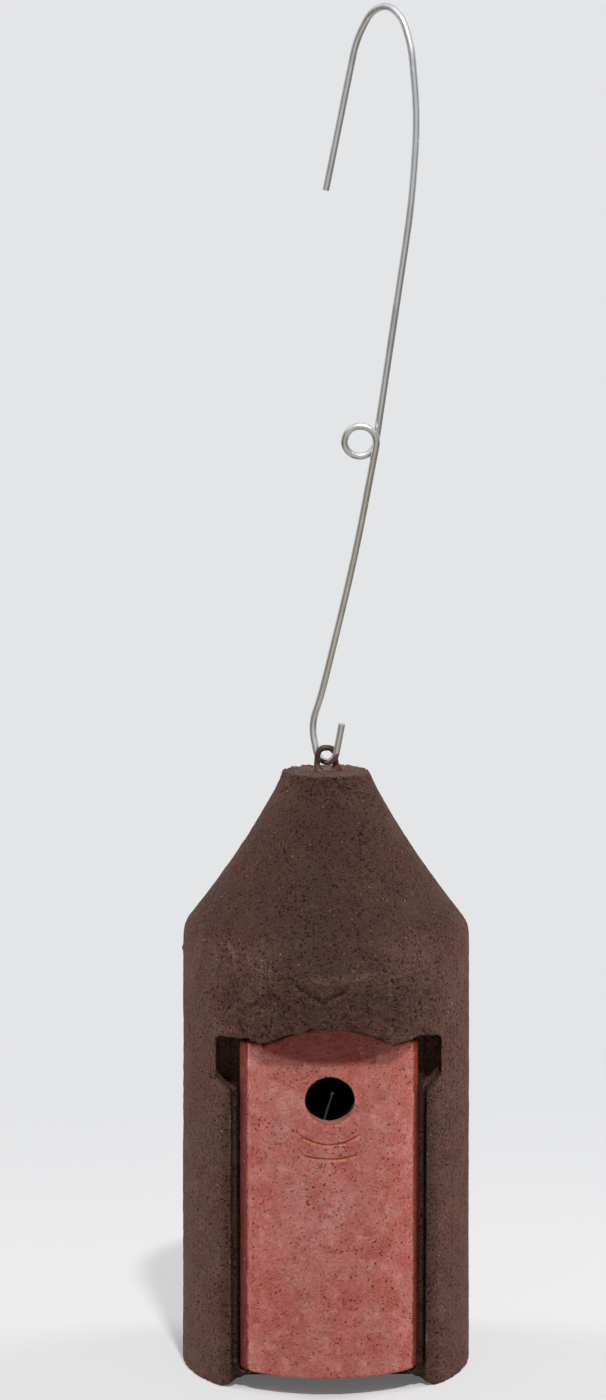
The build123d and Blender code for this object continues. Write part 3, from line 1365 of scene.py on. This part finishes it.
    def _chipped(self, skin: Skin, grit: Grit, wear: BodyWear) -> np.ndarray:
        """Finds where edges are chipped down to the pale concrete.

        Args:
            skin: the body's surface, sunk in.
            grit: the body's noise.
            wear: the wear of each point.

        Returns:
            How chipped each point is.
        """
        x, _, z = skin.points.T
        edges = self.chip_share * np.clip(wear.edge - self.chipped_from, 0, 1)
        edges = edges * self.chipped_below.of(z) * self.sparse.over(skin.points, grit)
        chips = edges + self.rim_chips * wear.rim * wear.edge
        line = wear.in_front * self.break_line_reach.of(np.abs(wear.break_gap - self.break_line))
        line = line * self.break_line_start.of(x) * self.break_line_end.of(x)
        chips += line * self.break_line_chips
        return wear.outside * chips

    def _scuffed(self, skin: Skin, grit: Grit, wear: BodyWear) -> np.ndarray:
        """Paints a highlight along the lip ridge, in scuffed patches, and finds the paler level
        top.

        Args:
            skin: the body's surface, sunk in.
            grit: the body's noise.
            wear: the wear of each point.

        Returns:
            How pale each point is.
        """
        x, y, z = skin.points.T
        # Painted highlight along the lip ridge, in scuffed patches.
        lip = self.lip_highlight_reach.of(np.abs(wear.lip_gap - self.lip_highlight_line))
        lip = lip * self.lip_highlight_sides.of(np.abs(x)) * self.lip_highlight_front.of(y)
        lip *= self.scuffs.over(skin.points, grit)
        level = self.level_face.of(skin.normals[:, 2]) * self.level_from.of(z)
        return self.level_share * level + self.pale_share * lip

    def _darkened(self, skin: Skin, wear: BodyWear) -> np.ndarray:
        """Finds the darker cone and the dark pits, and paints shade into the recess behind the
        panel.

        Args:
            skin: the body's surface, sunk in.
            wear: the wear of each point.

        Returns:
            How dark each point is.
        """
        x, y, z = skin.points.T
        # The cone is darker, most at its front and less towards the back.
        brow_cone = self.brow_cone_foot.of(z) * self.brow_cone_front.of(y) * (1 - wear.raw)
        cone = np.maximum(self.cone_foot.of(z), brow_cone)
        cone *= self.cone_least + self.cone_more * self.cone_back.of(y)
        # Painted shade in the recess behind the panel.
        recess = self.recess_shade_radius.of(np.hypot(x, y)) * self.recess_shade_head.of(z)
        recess = recess * self.recess_shade_front.of(y) * wear.outside
        recess *= self.recess_shade_least + self.recess_shade_more * self.recess_shade_side.of(np.abs(x))
        pits = self.dark_pit_share * np.clip(wear.pits - self.dark_pit_from, 0, 1) * wear.outside
        return self.cone_share * cone + pits + self.raw_share * wear.raw + recess


@dataclass(frozen=True)
class Groove:
    """A fine arc pressed into the panel, lowest in its middle and tapering to its ends."""

    height: float
    radius: float
    half_width: float
    upper_width: float = 0.65
    lower_width: float = 1.15
    end_width: float = 0.45
    end_fade: Span = Span(1.0, 0.8)

    def depth(self, x: np.ndarray, z: np.ndarray, wander: np.ndarray) -> np.ndarray:
        """Works out how deep the groove is.

        Args:
            x: how far to the side each point lies.
            z: how high each point lies.
            wander: how far the groove strays upwards there.

        Returns:
            A share of the full depth, from 0 to 1, for each point.
        """
        reach = np.clip(np.abs(x) / self.half_width, 0.0, 1.0)
        sag = np.sqrt(np.clip(self.radius**2 - x**2, 0, None))
        above = z - (self.height + self.radius - sag + wander)
        taper = self.end_width + (1 - self.end_width) * np.sqrt(1 - reach**2)
        width = np.where(above > 0, self.upper_width, self.lower_width) * taper
        return np.clip(1 - np.abs(above) / width, 0.0, 1.0) * self.end_fade.of(reach)


@dataclass
class PanelWear:
    """How the panel is worn before it is sunk in, with one value for each point."""

    ahead: np.ndarray
    front: np.ndarray
    hole_gap: np.ndarray
    edge: np.ndarray
    at_side: np.ndarray
    wander: np.ndarray
    cut: np.ndarray
    pits: np.ndarray


@dataclass
class FrontPanel:
    """The terracotta panel with its ragged front edges."""

    voxel: float = 0.8
    seed: int = 23
    pit_seed: int = 29
    front_radius: float = 75.0
    hole_height: float = 164.0
    hole_radius: float = 13.0
    face_half_width: float = 44.7

    # The fine grooves, and the field over them that is closed first.
    groove_field: tuple[float, float, float] = (20.0, 129.0, 149.5)
    grooves: tuple[Groove, ...] = (Groove(140.3, 27.5, 17.5), Groove(132.4, 52.0, 16.5))
    groove_depth: float = 0.75
    lower_lip: float = 1.1
    wander_reach: float = 0.35
    wander_size: float = 6.0
    plug_steps: int = 40
    plug_thickness: float = 4.0
    field_margin: float = 1.0
    field_front: float = -68.0
    field_cuts: int = 2

    # The cast surface, its edges and its pits.
    facing: Span = Span(-0.35, -0.8)
    ahead_from: Span = Span(-50.0, -55.0)
    front_from: Span = Span(-48.0, -54.0)
    away_from_hole: Span = Span(0.8, 2.5)
    wave_depth: float = 0.3
    wave_size: float = 30.0
    dents: Lumps = Lumps(0.2, 7.0)
    grain: Lumps = Lumps(0.2, 2.2, 2)
    cast_level: float = 0.27
    left_bevel: Span = Span(-42.4, -45.0)
    left_bevel_depth: float = 1.2
    side_band: Span = Span(-3.5, -0.8)
    side_depth: float = 3.0
    side_grit: float = 4.4
    side_power: float = 1.6
    edge_depth: float = 0.3
    edge_grit: float = 3.0
    knock_side: Swell = Swell(-3.5, 2.2)
    knock_height: Swell = Swell(176.6, 1.3)
    knock_depth: float = 0.9
    pit_spacing: float = 4.6
    pit_share: float = 0.4
    pit_radius: float = 1.05
    pit_depth: float = 0.45

    # The chips at the hole and down the sides, and the painted highlight on each groove's lower
    # lip.
    hole_ring: float = 0.6
    hole_ring_reach: Span = Span(2.4, 0.3)
    hole_grit: float = 5.0
    hole_gain: float = 1.4
    hole_chips: float = 0.5
    groove_lip_highlight: float = 1.1
    side_chips: float = 1.3
    chipped_from: float = 0.3
    rare: Patches = Patches(4.0, 2, Span(0.4, 0.7))

    # The two pale scuffs of the face.
    left_scuff_side: Swell = Swell(-22.0, 11.0)
    left_scuff_height: Swell = Swell(158.0, 17.0)
    low_scuff_side: Swell = Swell(-7.0, 15.0)
    low_scuff_height: Swell = Swell(108.0, 34.0)
    low_scuff_share: float = 0.8
    broad: Patches = Patches(12.0, 3, Span(0.3, 0.6))
    fine: Patches = Patches(3.2, 2, Span(0.2, 0.6))
    pale_share: float = 0.95

    # Painted shade on the side borders and in the grooves, the dark pits, and the painted shadow of
    # the brow in an arc over the panel's top.
    left_shade_border: float = 44.1
    right_shade_border: float = 45.4
    shade_border_wander: float = 1.8
    shade_border_grit: float = 3.5
    shade_border_fade: Span = Span(-0.4, 0.4)
    shade_border_share: float = 0.86
    hood_shadow_height: float = 184.0
    hood_shadow_sag: float = 8.0
    hood_shadow_half_width: float = 44.0
    hood_shadow_fade: Span = Span(-1.0, 2.0)
    hood_shadow_share: float = 0.6
    groove_shade_share: float = 0.6
    dark_pit_from: float = 0.45
    dark_pit_share: float = 0.55

    def build(self) -> bpy.types.Object:
        """Builds the panel.

        Returns:
            The finished panel.
        """
        half, low, high = self.groove_field
        margin = self.field_margin
        skin = Skin("front_panel", "red_panel", self.voxel, self._plug())
        grit = Grit(self.seed)
        x, y, z = skin.points.T
        field = (np.abs(x) < half - margin) & (z > low + margin) & (z < high - margin)
        skin.refine(field & (y < self.field_front), self.field_cuts)
        wear = self._look_over(skin, grit)
        skin.sink(self._depth(skin, grit, wear))
        skin.mark(Mark.CHIPS_AND_HIGHLIGHTS, self._chipped(skin, grit, wear))
        skin.mark(Mark.RAW, np.zeros(len(skin.points)))
        skin.mark(Mark.PALE, self._scuffed(skin, grit, wear))
        skin.mark(Mark.DARK_AND_SHADE, self._darkened(skin, grit, wear))
        return skin.finished(RED.make())

    def _plug(self) -> bpy.types.Mesh:
        """Makes a curved slab that closes the coarse grooves before fine ones are cut.

        Returns:
            The closed mesh of the slab.
        """
        half, low, high = self.groove_field
        steps = self.plug_steps
        points, faces = [], []
        for step in range(steps + 1):
            angle = (2 * step / steps - 1) * half / self.front_radius
            for reach in (self.front_radius, self.front_radius - self.plug_thickness):
                for height in (low, high):
                    points.append((reach * sin(angle) * MM, -reach * cos(angle) * MM, height * MM))
        corners = 4
        for step in range(steps):
            here, after = corners * step, corners * (step + 1)
            faces += [(here, after, after + 1, here + 1)]
            faces += [(here + 2, here + 3, after + 3, after + 2)]
            faces += [(here + 1, after + 1, after + 3, here + 3)]
            faces += [(here, here + 2, after + 2, after)]
        last = corners * steps
        faces += [(0, 1, 3, 2), (last, last + 2, last + 3, last + 1)]
        mesh = bpy.data.meshes.new("plug")
        mesh.from_pydata(points, [], faces)
        return mesh

    def _look_over(self, skin: Skin, grit: Grit) -> PanelWear:
        """Finds the panel's front, edges, grooves and pits.

        Args:
            skin: the panel's surface, before it is sunk in.
            grit: the panel's noise.

        Returns:
            The wear of each point.
        """
        x, y, z = skin.points.T
        ahead = self.facing.of(skin.normals[:, 1]) * self.ahead_from.of(y)
        side = Span(
            self.face_half_width + self.side_band.start, self.face_half_width + self.side_band.end
        )
        wander = self.wander_reach * (grit.rough(skin.points, self.wander_size) - MIDDLE)
        pits = Grit(self.pit_seed).pits(
            skin.points, self.pit_spacing, self.pit_share, self.pit_radius
        )
        return PanelWear(
            ahead=ahead,
            front=self.front_from.of(y),
            hole_gap=np.hypot(x, z - self.hole_height) - self.hole_radius,
            edge=skin.edginess(),
            at_side=side.of(np.abs(x)),
            wander=wander,
            cut=self._deepest_groove(x, z, wander) * ahead,
            pits=pits,
        )

    def _deepest_groove(self, x: np.ndarray, z: np.ndarray, wander: np.ndarray) -> np.ndarray:
        """Returns the share of the full depth that the deepest groove has at each point."""
        return np.maximum.reduce([groove.depth(x, z, wander) for groove in self.grooves])

    def _depth(self, skin: Skin, grit: Grit, wear: PanelWear) -> np.ndarray:
        """Works out how deep the worn surface lies under the solid's.

        Args:
            skin: the panel's surface.
            grit: the panel's noise.
            wear: the wear of each point.

        Returns:
            The depth of each point in millimetres.
        """
        points = skin.points
        x, _, z = points.T
        away = self.away_from_hole.of(wear.hole_gap)
        depth = self.wave_depth * grit.lumps(points, self.wave_size)
        depth = depth + self.dents.over(points, grit) - self.cast_level
        depth = np.clip(depth + self.grain.over(points, grit), 0.0, None)
        depth += self.left_bevel_depth * self.left_bevel.of(x) * wear.ahead
        ragged = grit.rough(points, self.side_grit, 2) ** self.side_power
        depth += wear.at_side * wear.edge * self.side_depth * ragged
        depth += wear.edge * away * self.edge_depth * grit.rough(points, self.edge_grit)
        knock = swollen(self.knock_side.gap(x), self.knock_height.gap(z))
        depth += wear.ahead * self.knock_depth * knock
        depth += wear.ahead * wear.pits * self.pit_depth * away
        depth += self.groove_depth * wear.cut
        return depth * wear.front

    def _chipped(self, skin: Skin, grit: Grit, wear: PanelWear) -> np.ndarray:
        """Finds the bright chips at the hole and down the sides, and paints a highlight on each
        groove's lower lip.

        Args:
            skin: the panel's surface, sunk in.
            grit: the panel's noise.
            wear: the wear of each point.

        Returns:
            How chipped or highlighted each point is.
        """
        x, _, z = skin.points.T
        at_hole = self.hole_ring_reach.of(np.abs(wear.hole_gap - self.hole_ring)) * wear.ahead
        at_hole = at_hole * grit.rough(skin.points, self.hole_grit) * self.hole_gain
        # Painted highlight on the lower lip of each groove.
        lit_groove_lip = self._deepest_groove(x, z + self.lower_lip, wear.wander) * wear.ahead
        lit_groove_lip = lit_groove_lip * (1 - wear.cut)
        sides = self.side_chips * wear.at_side * np.clip(wear.edge - self.chipped_from, 0, 1)
        sides = sides * self.rare.over(skin.points, grit)
        return self.hole_chips * at_hole + self.groove_lip_highlight * lit_groove_lip + sides

    def _scuffed(self, skin: Skin, grit: Grit, wear: PanelWear) -> np.ndarray:
        """Finds the pale scuffs of the face.

        Args:
            skin: the panel's surface, sunk in.
            grit: the panel's noise.
            wear: the wear of each point.

        Returns:
            How pale each point is.
        """
        x, _, z = skin.points.T
        scuff = swollen(self.left_scuff_side.gap(x), self.left_scuff_height.gap(z))
        low_scuff = swollen(self.low_scuff_side.gap(x), self.low_scuff_height.gap(z))
        scuff += self.low_scuff_share * low_scuff
        scuff *= self.broad.over(skin.points, grit) * self.fine.over(skin.points, grit)
        return self.pale_share * scuff * wear.ahead

    def _darkened(self, skin: Skin, grit: Grit, wear: PanelWear) -> np.ndarray:
        """Finds the dark pits, and paints shade on the side borders and in the grooves and the
        brow's shadow over the panel's top.

        Args:
            skin: the panel's surface, sunk in.
            grit: the panel's noise.
            wear: the wear of each point.

        Returns:
            How dark each point is.
        """
        x, _, z = skin.points.T
        # Painted shade on the panel's side borders.
        border = np.where(x < 0, self.left_shade_border, self.right_shade_border)
        stray = self.shade_border_wander * (grit.rough(skin.points, self.shade_border_grit, 2) - MIDDLE)
        side = self.shade_border_fade.of(np.abs(x) + stray - border)
        # Painted shadow of the brow over the panel's top, lowest in the middle.
        arc = self.hood_shadow_sag * (x / self.hood_shadow_half_width) ** 2
        hood_shadow = self.hood_shadow_fade.of(z - self.hood_shadow_height - arc) * wear.ahead
        pits = self.dark_pit_share * np.clip(wear.pits - self.dark_pit_from, 0, 1) * wear.ahead
        # Painted shade in the grooves, with the dark pits.
        dark_and_shade = self.groove_shade_share * wear.cut + pits + self.shade_border_share * side
        return dark_and_shade + self.hood_shadow_share * hood_shadow


@dataclass
class PaintedEye:
    """The cast-in eye under its thick, uneven coat of paint."""

    voxel: float = 0.3
    seed: int = 53
    coat_depth: float = 0.14
    runs: Lumps = Lumps(0.2, 2.6, 2)
    foot: Span = Span(339.0, 333.0)
    foot_coat: float = 0.35
    foot_grit: float = 4.0

    def build(self, paint: bpy.types.Material) -> bpy.types.Object:
        """Builds the eye.

        Args:
            paint: its finish.

        Returns:
            The finished eye.
        """
        skin = Skin("hanging_eye", "painted_eye", self.voxel)
        grit = Grit(self.seed)
        at_foot = self.foot.of(skin.points[:, 2])
        thickness = self.coat_depth + self.runs.over(skin.points, grit)
        thickness += self.foot_coat * at_foot * grit.rough(skin.points, self.foot_grit)
        skin.sink(-thickness)
        return skin.finished(paint)


@dataclass(frozen=True)
class Wave:
    """A wave round an outline: its height, how often it comes and where it starts."""

    height: float
    count: int
    start: float

    def at(self, angle: float) -> float:
        """Returns the wave's height at an angle in radians."""
        return self.height * sin(self.count * angle + self.start)


@dataclass
class PaintCollar:
    """The mound of thick paint that the eye's two legs come out of."""

    seed: int = 41
    half_width: float = 10.5
    half_depth: float = 8.0
    outline: tuple[Wave, ...] = (Wave(0.12, 3, 0.6), Wave(0.07, 5, 2.1))
    base_height: float = 328.4
    edge_height: float = 0.4
    rise: float = 3.2
    shoulder: Span = Span(1.0, 0.66)
    leg_x: float = 5.2
    leg_mound: float = 3.6
    leg_inner: float = 2.2
    leg_outer: float = 3.6
    leg_depth: Swell = Swell(-1.0, 2.6)
    detail_edge: Span = Span(1.0, 0.8)
    lump_height: float = 0.5
    lump_size: float = 2.6
    lump_level: float = 0.4
    turn: float = 8.0
    rings: int = 20
    spokes: int = 64
    weld_distance: float = 0.01

    def build(self, paint: bpy.types.Material) -> bpy.types.Object:
        """Builds the collar.

        Args:
            paint: its finish.

        Returns:
            The finished collar.
        """
        top = self._top()
        foot = top[-self.spokes :].copy()
        foot[:, 2] = self.base_height
        points = np.vstack([top, foot, [[0.0, 0.0, self.base_height]]]) * MM
        mesh = bpy.data.meshes.new("paint_collar")
        mesh.from_pydata([tuple(point) for point in points], [], self._faces(len(points) - 1))
        mesh.validate()
        piece = linked("paint_collar", mesh)
        weld = piece.modifiers.new("weld", "WELD")
        weld.merge_threshold = self.weld_distance * MM
        apply_modifiers(piece)
        coat(piece, paint)
        return piece

    def _top(self) -> np.ndarray:
        """Shapes the upper surface, ring by ring from its middle.

        Returns:
            The points of the upper surface in millimetres.
        """
        rows = []
        for ring in range(self.rings + 1):
            share = ring / self.rings
            for spoke in range(self.spokes):
                angle = 2 * pi * spoke / self.spokes
                reach = share * sum((wave.at(angle) for wave in self.outline), 1)
                x = self.half_width * reach * cos(angle)
                y = self.half_depth * reach * sin(angle)
                rows.append((x, y, share))
        flat = np.array(rows)
        x, y, share = flat.T
        detail = self.detail_edge.of(share)
        across = np.where(np.abs(x) < self.leg_x, self.leg_inner, self.leg_outer)
        at_leg = swollen(((np.abs(x) - self.leg_x) / across) ** 2, self.leg_depth.gap(y))
        height = self.rise * self.shoulder.of(share) + self.leg_mound * at_leg * detail
        lumps = Grit(self.seed).rough(flat * np.array([1, 1, 0]), self.lump_size)
        height += self.lump_height * (lumps - self.lump_level) * detail
        turn = radians(self.turn)
        return np.stack(
            [
                x * cos(turn) - y * sin(turn),
                x * sin(turn) + y * cos(turn),
                self.base_height + self.edge_height + np.maximum(height, 0.0),
            ],
            axis=1,
        )

    def _faces(self, centre: int) -> list[tuple[int, ...]]:
        """Joins the rings, and closes the foot.

        Args:
            centre: the number of the point in the middle of the foot.

        Returns:
            The faces, as the numbers of their points.
        """
        faces = []
        for ring in range(self.rings + 1):
            inner, outer = ring * self.spokes, (ring + 1) * self.spokes
            for spoke in range(self.spokes):
                after = (spoke + 1) % self.spokes
                faces.append((inner + spoke, outer + spoke, outer + after, inner + after))
        last = (self.rings + 1) * self.spokes
        for spoke in range(self.spokes):
            faces.append((last + (spoke + 1) % self.spokes, last + spoke, centre))
        return faces


def dress(node: str, material: bpy.types.Material) -> None:
    """Gives a solid of the frame its finish.

    Args:
        node: the solid's name in the frame.
        material: its finish.
    """
    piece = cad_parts[node]
    if not piece.material_slots:
        piece.data.materials.append(material)
    for slot in piece.material_slots:
        slot.material = material
    log.info("%s: %d faces, as packed", node, len(piece.data.polygons))


# Studio.


@dataclass(frozen=True)
class Lamp:
    """A soft square lamp that points at the box."""

    name: str
    azimuth: float
    elevation: float
    distance: float
    size: float
    power: float
    mirrored: bool = True

    def hang(self, target: Vector) -> None:
        """Places the lamp round the target and points it there.

        Args:
            target: the place that it lights.
        """
        data = bpy.data.lights.new(self.name, "AREA")
        data.size = self.size
        data.energy = self.power
        lamp = bpy.data.objects.new(self.name, data)
        bpy.context.scene.collection.objects.link(lamp)
        turn, rise = radians(self.azimuth), radians(self.elevation)
        back = Vector((sin(turn) * cos(rise), -cos(turn) * cos(rise), sin(rise)))
        lamp.location = target + back * self.distance
        lamp.visible_glossy = self.mirrored
        lamp.rotation_mode = "QUATERNION"
        lamp.rotation_quaternion = (-back).to_track_quat("-Z", "Y")


@dataclass
class Studio:
    """The pale floor and background, the soft lamps and the camera. Sizes are metres."""

    backdrop: Colour = seen(228, 229, 231)
    fill: float = 0.17

    # What glossy surfaces mirror of the room, by the direction they look in.
    room_side: Colour = (0.27, 0.255, 0.245)
    room_front: Colour = (0.62, 0.66, 0.7)
    room_low: Colour = (0.05, 0.045, 0.04)
    room_high: Colour = (1.05, 1.1, 1.15)
    front_edge: Span = Span(-0.35, -0.85)
    low_edge: Span = Span(-0.14, -0.4)
    high_edge: Span = Span(0.25, 0.5)
    room_edge: Span = Span(0.3, -0.2)

    # The floor, and what glossy surfaces mirror of it, by how far it lies from the box.
    floor_radius: float = 3.0
    floor_sides: int = 96
    floor_albedo: float = 0.66
    floor_glow: float = 0.5
    shaded_glow: float = 0.14
    shaded_edge: Span = Span(0.07, 0.1)
    glow_edge: Span = Span(0.2, 0.8)
    foot_mirrored: Colour = (0.07, 0.06, 0.05)
    near_mirrored: Colour = (0.56, 0.47, 0.34)
    far_mirrored: Colour = (0.6, 0.63, 0.66)
    side_mirrored: Colour = (0.24, 0.22, 0.2)
    near_edge: Span = Span(0.3, 0.5)
    far_edge: Span = Span(0.9, 1.7)
    side_edge: Span = Span(0.2, 0.6)

    camera_at: Point = (-0.0570, -2.0397, 0.6510)
    camera_pitch: float = 82.158
    camera_turn: float = -1.243
    lens: float = 97.05
    sensor_width: float = 36.0
    clip_range: tuple[float, float] = (0.05, 50.0)
    lamp_target: Point = (0.0, 0.0, 0.2)
    lamps: Sequence[Lamp] = (
        Lamp("key", 6.0, 55.5, 2.2, 0.12, 44.0),
        Lamp("rim_right", 108.0, 12.0, 2.2, 0.9, 54.0, False),
        Lamp("rim_left", -108.0, 12.0, 2.2, 0.9, 50.0, False),
    )

    def build(self) -> None:
        """Builds the whole studio."""
        self._background()
        self._floor()
        for lamp in self.lamps:
            lamp.hang(Vector(self.lamp_target))
        self._camera()

    def _looked_at(self, mix: Recipe) -> Wire:
        """Returns 1 where the ray is one that shows the background itself."""
        straight = mix.ray(Ray.CAMERA).higher(mix.ray(Ray.TRANSMITTED))
        return straight.higher(mix.ray(Ray.GLOSSY))

    def _background(self) -> None:
        """Makes a pale world that is dimmer in reflections from the side of the room."""
        world = bpy.data.worlds.new("studio")
        bpy.context.scene.world = world
        world.use_nodes = True
        mix = Recipe(world.node_tree, "Generated")
        parts = mix.add("ShaderNodeSeparateXYZ", {}, {"Vector": mix.place})
        across, up = mix.read(parts, "Y"), mix.read(parts, "Z")
        room = mix.blend(across.over(self.front_edge), self.room_side, self.room_front)
        room = mix.blend(up.over(self.low_edge), room, self.room_low)
        room = mix.blend(up.over(self.high_edge), room, self.room_high)
        towards_room = across.over(self.room_edge) * mix.ray(Ray.GLOSSY)
        shown = mix.blend(towards_room, self.backdrop, room)
        colour = mix.blend(self._looked_at(mix), (self.fill,) * 3, shown)
        glow = mix.add("ShaderNodeBackground", {}, {"Color": colour, "Strength": 1.0})
        mix.add("ShaderNodeOutputWorld", {}, {"Surface": mix.read(glow, "Background")})

    def _floor(self) -> None:
        """Lays a pale floor that fades into the background away from the box."""
        ring = []
        for step in range(self.floor_sides):
            angle = 2 * pi * step / self.floor_sides
            ring.append((self.floor_radius * cos(angle), self.floor_radius * sin(angle), 0.0))
        mesh = bpy.data.meshes.new("floor")
        mesh.from_pydata(ring, [], [tuple(range(self.floor_sides))])
        floor = linked("floor", mesh)
        mesh.materials.append(self._floor_finish())

    def _floor_finish(self) -> bpy.types.Material:
        """Mixes a matt floor that keeps the shadow near the box and glows further out.

        Returns:
            The floor's finish.
        """
        material, mix = new_recipe("pale_floor")
        reach = mix.vector("LENGTH", {0: mix.place}, "Value")
        lit = self.floor_glow - self.shaded_glow
        glowing = self.shaded_glow + lit * reach.over(self.shaded_edge)
        glowing = glowing + (1 - self.floor_glow) * reach.over(self.glow_edge)
        parts = mix.add("ShaderNodeSeparateXYZ", {}, {"Vector": mix.place})
        aside = (mix.read(parts, "X") / reach) ** 2.0
        mirrored = mix.blend(reach.over(self.near_edge), self.foot_mirrored, self.near_mirrored)
        mirrored = mix.blend(reach.over(self.far_edge), mirrored, self.far_mirrored)
        mirrored = mix.blend(aside.over(self.side_edge), mirrored, self.side_mirrored)
        shown = mix.blend(mix.ray(Ray.GLOSSY), self.backdrop, mirrored)
        matt = mix.add("ShaderNodeBsdfDiffuse", {}, {"Color": (self.floor_albedo,) * 3})
        glow = mix.add("ShaderNodeEmission", {}, {"Color": shown, "Strength": 1.0})
        share = glowing * self._looked_at(mix)
        mix.two_surfaces(share, mix.read(matt, "BSDF"), mix.read(glow, "Emission"))
        return material

    def _camera(self) -> None:
        """Sets the camera where the picture was taken from."""
        data = bpy.data.cameras.new("camera")
        data.lens = self.lens
        data.sensor_width = self.sensor_width
        data.clip_start, data.clip_end = self.clip_range
        camera = bpy.data.objects.new("camera", data)
        bpy.context.scene.collection.objects.link(camera)
        camera.location = self.camera_at
        camera.rotation_euler = (radians(self.camera_pitch), 0.0, radians(self.camera_turn))
        bpy.context.scene.camera = camera


def place(piece: bpy.types.Object, body: str, slot: str, *replaced: str) -> None:
    """Lets a piece ride on its body and hides what it stands for.

    Args:
        piece: the finished piece.
        body: the body that it moves with.
        slot: not used.
        replaced: the solids that it stands for.
    """
    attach(piece, body)
    if replaced:
        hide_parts(*replaced)
    log.info("%s: %d faces, on %s", piece.name, len(piece.data.polygons), body)


def main() -> None:
    """Builds every piece in order, then the studio."""
    logging.basicConfig(level=logging.INFO, format="%(message)s")
    bpy.context.scene.view_settings.view_transform = "Standard"
    place(CastBody().build(), "box", "brown_wood_concrete", "body")
    place(FrontPanel().build(), "panel", "red_wood_concrete", "front_panel")
    paint = EYE_PAINT.make()
    place(PaintedEye().build(paint), "box", "painted_eye", "hanging_eye")
    place(PaintCollar().build(paint), "box", "painted_eye")
    dress("hanger", ZINC.make())
    dress("fixing_nail", ALUMINIUM.make())
    Studio().build()


if __name__ == "__main__":
    main()
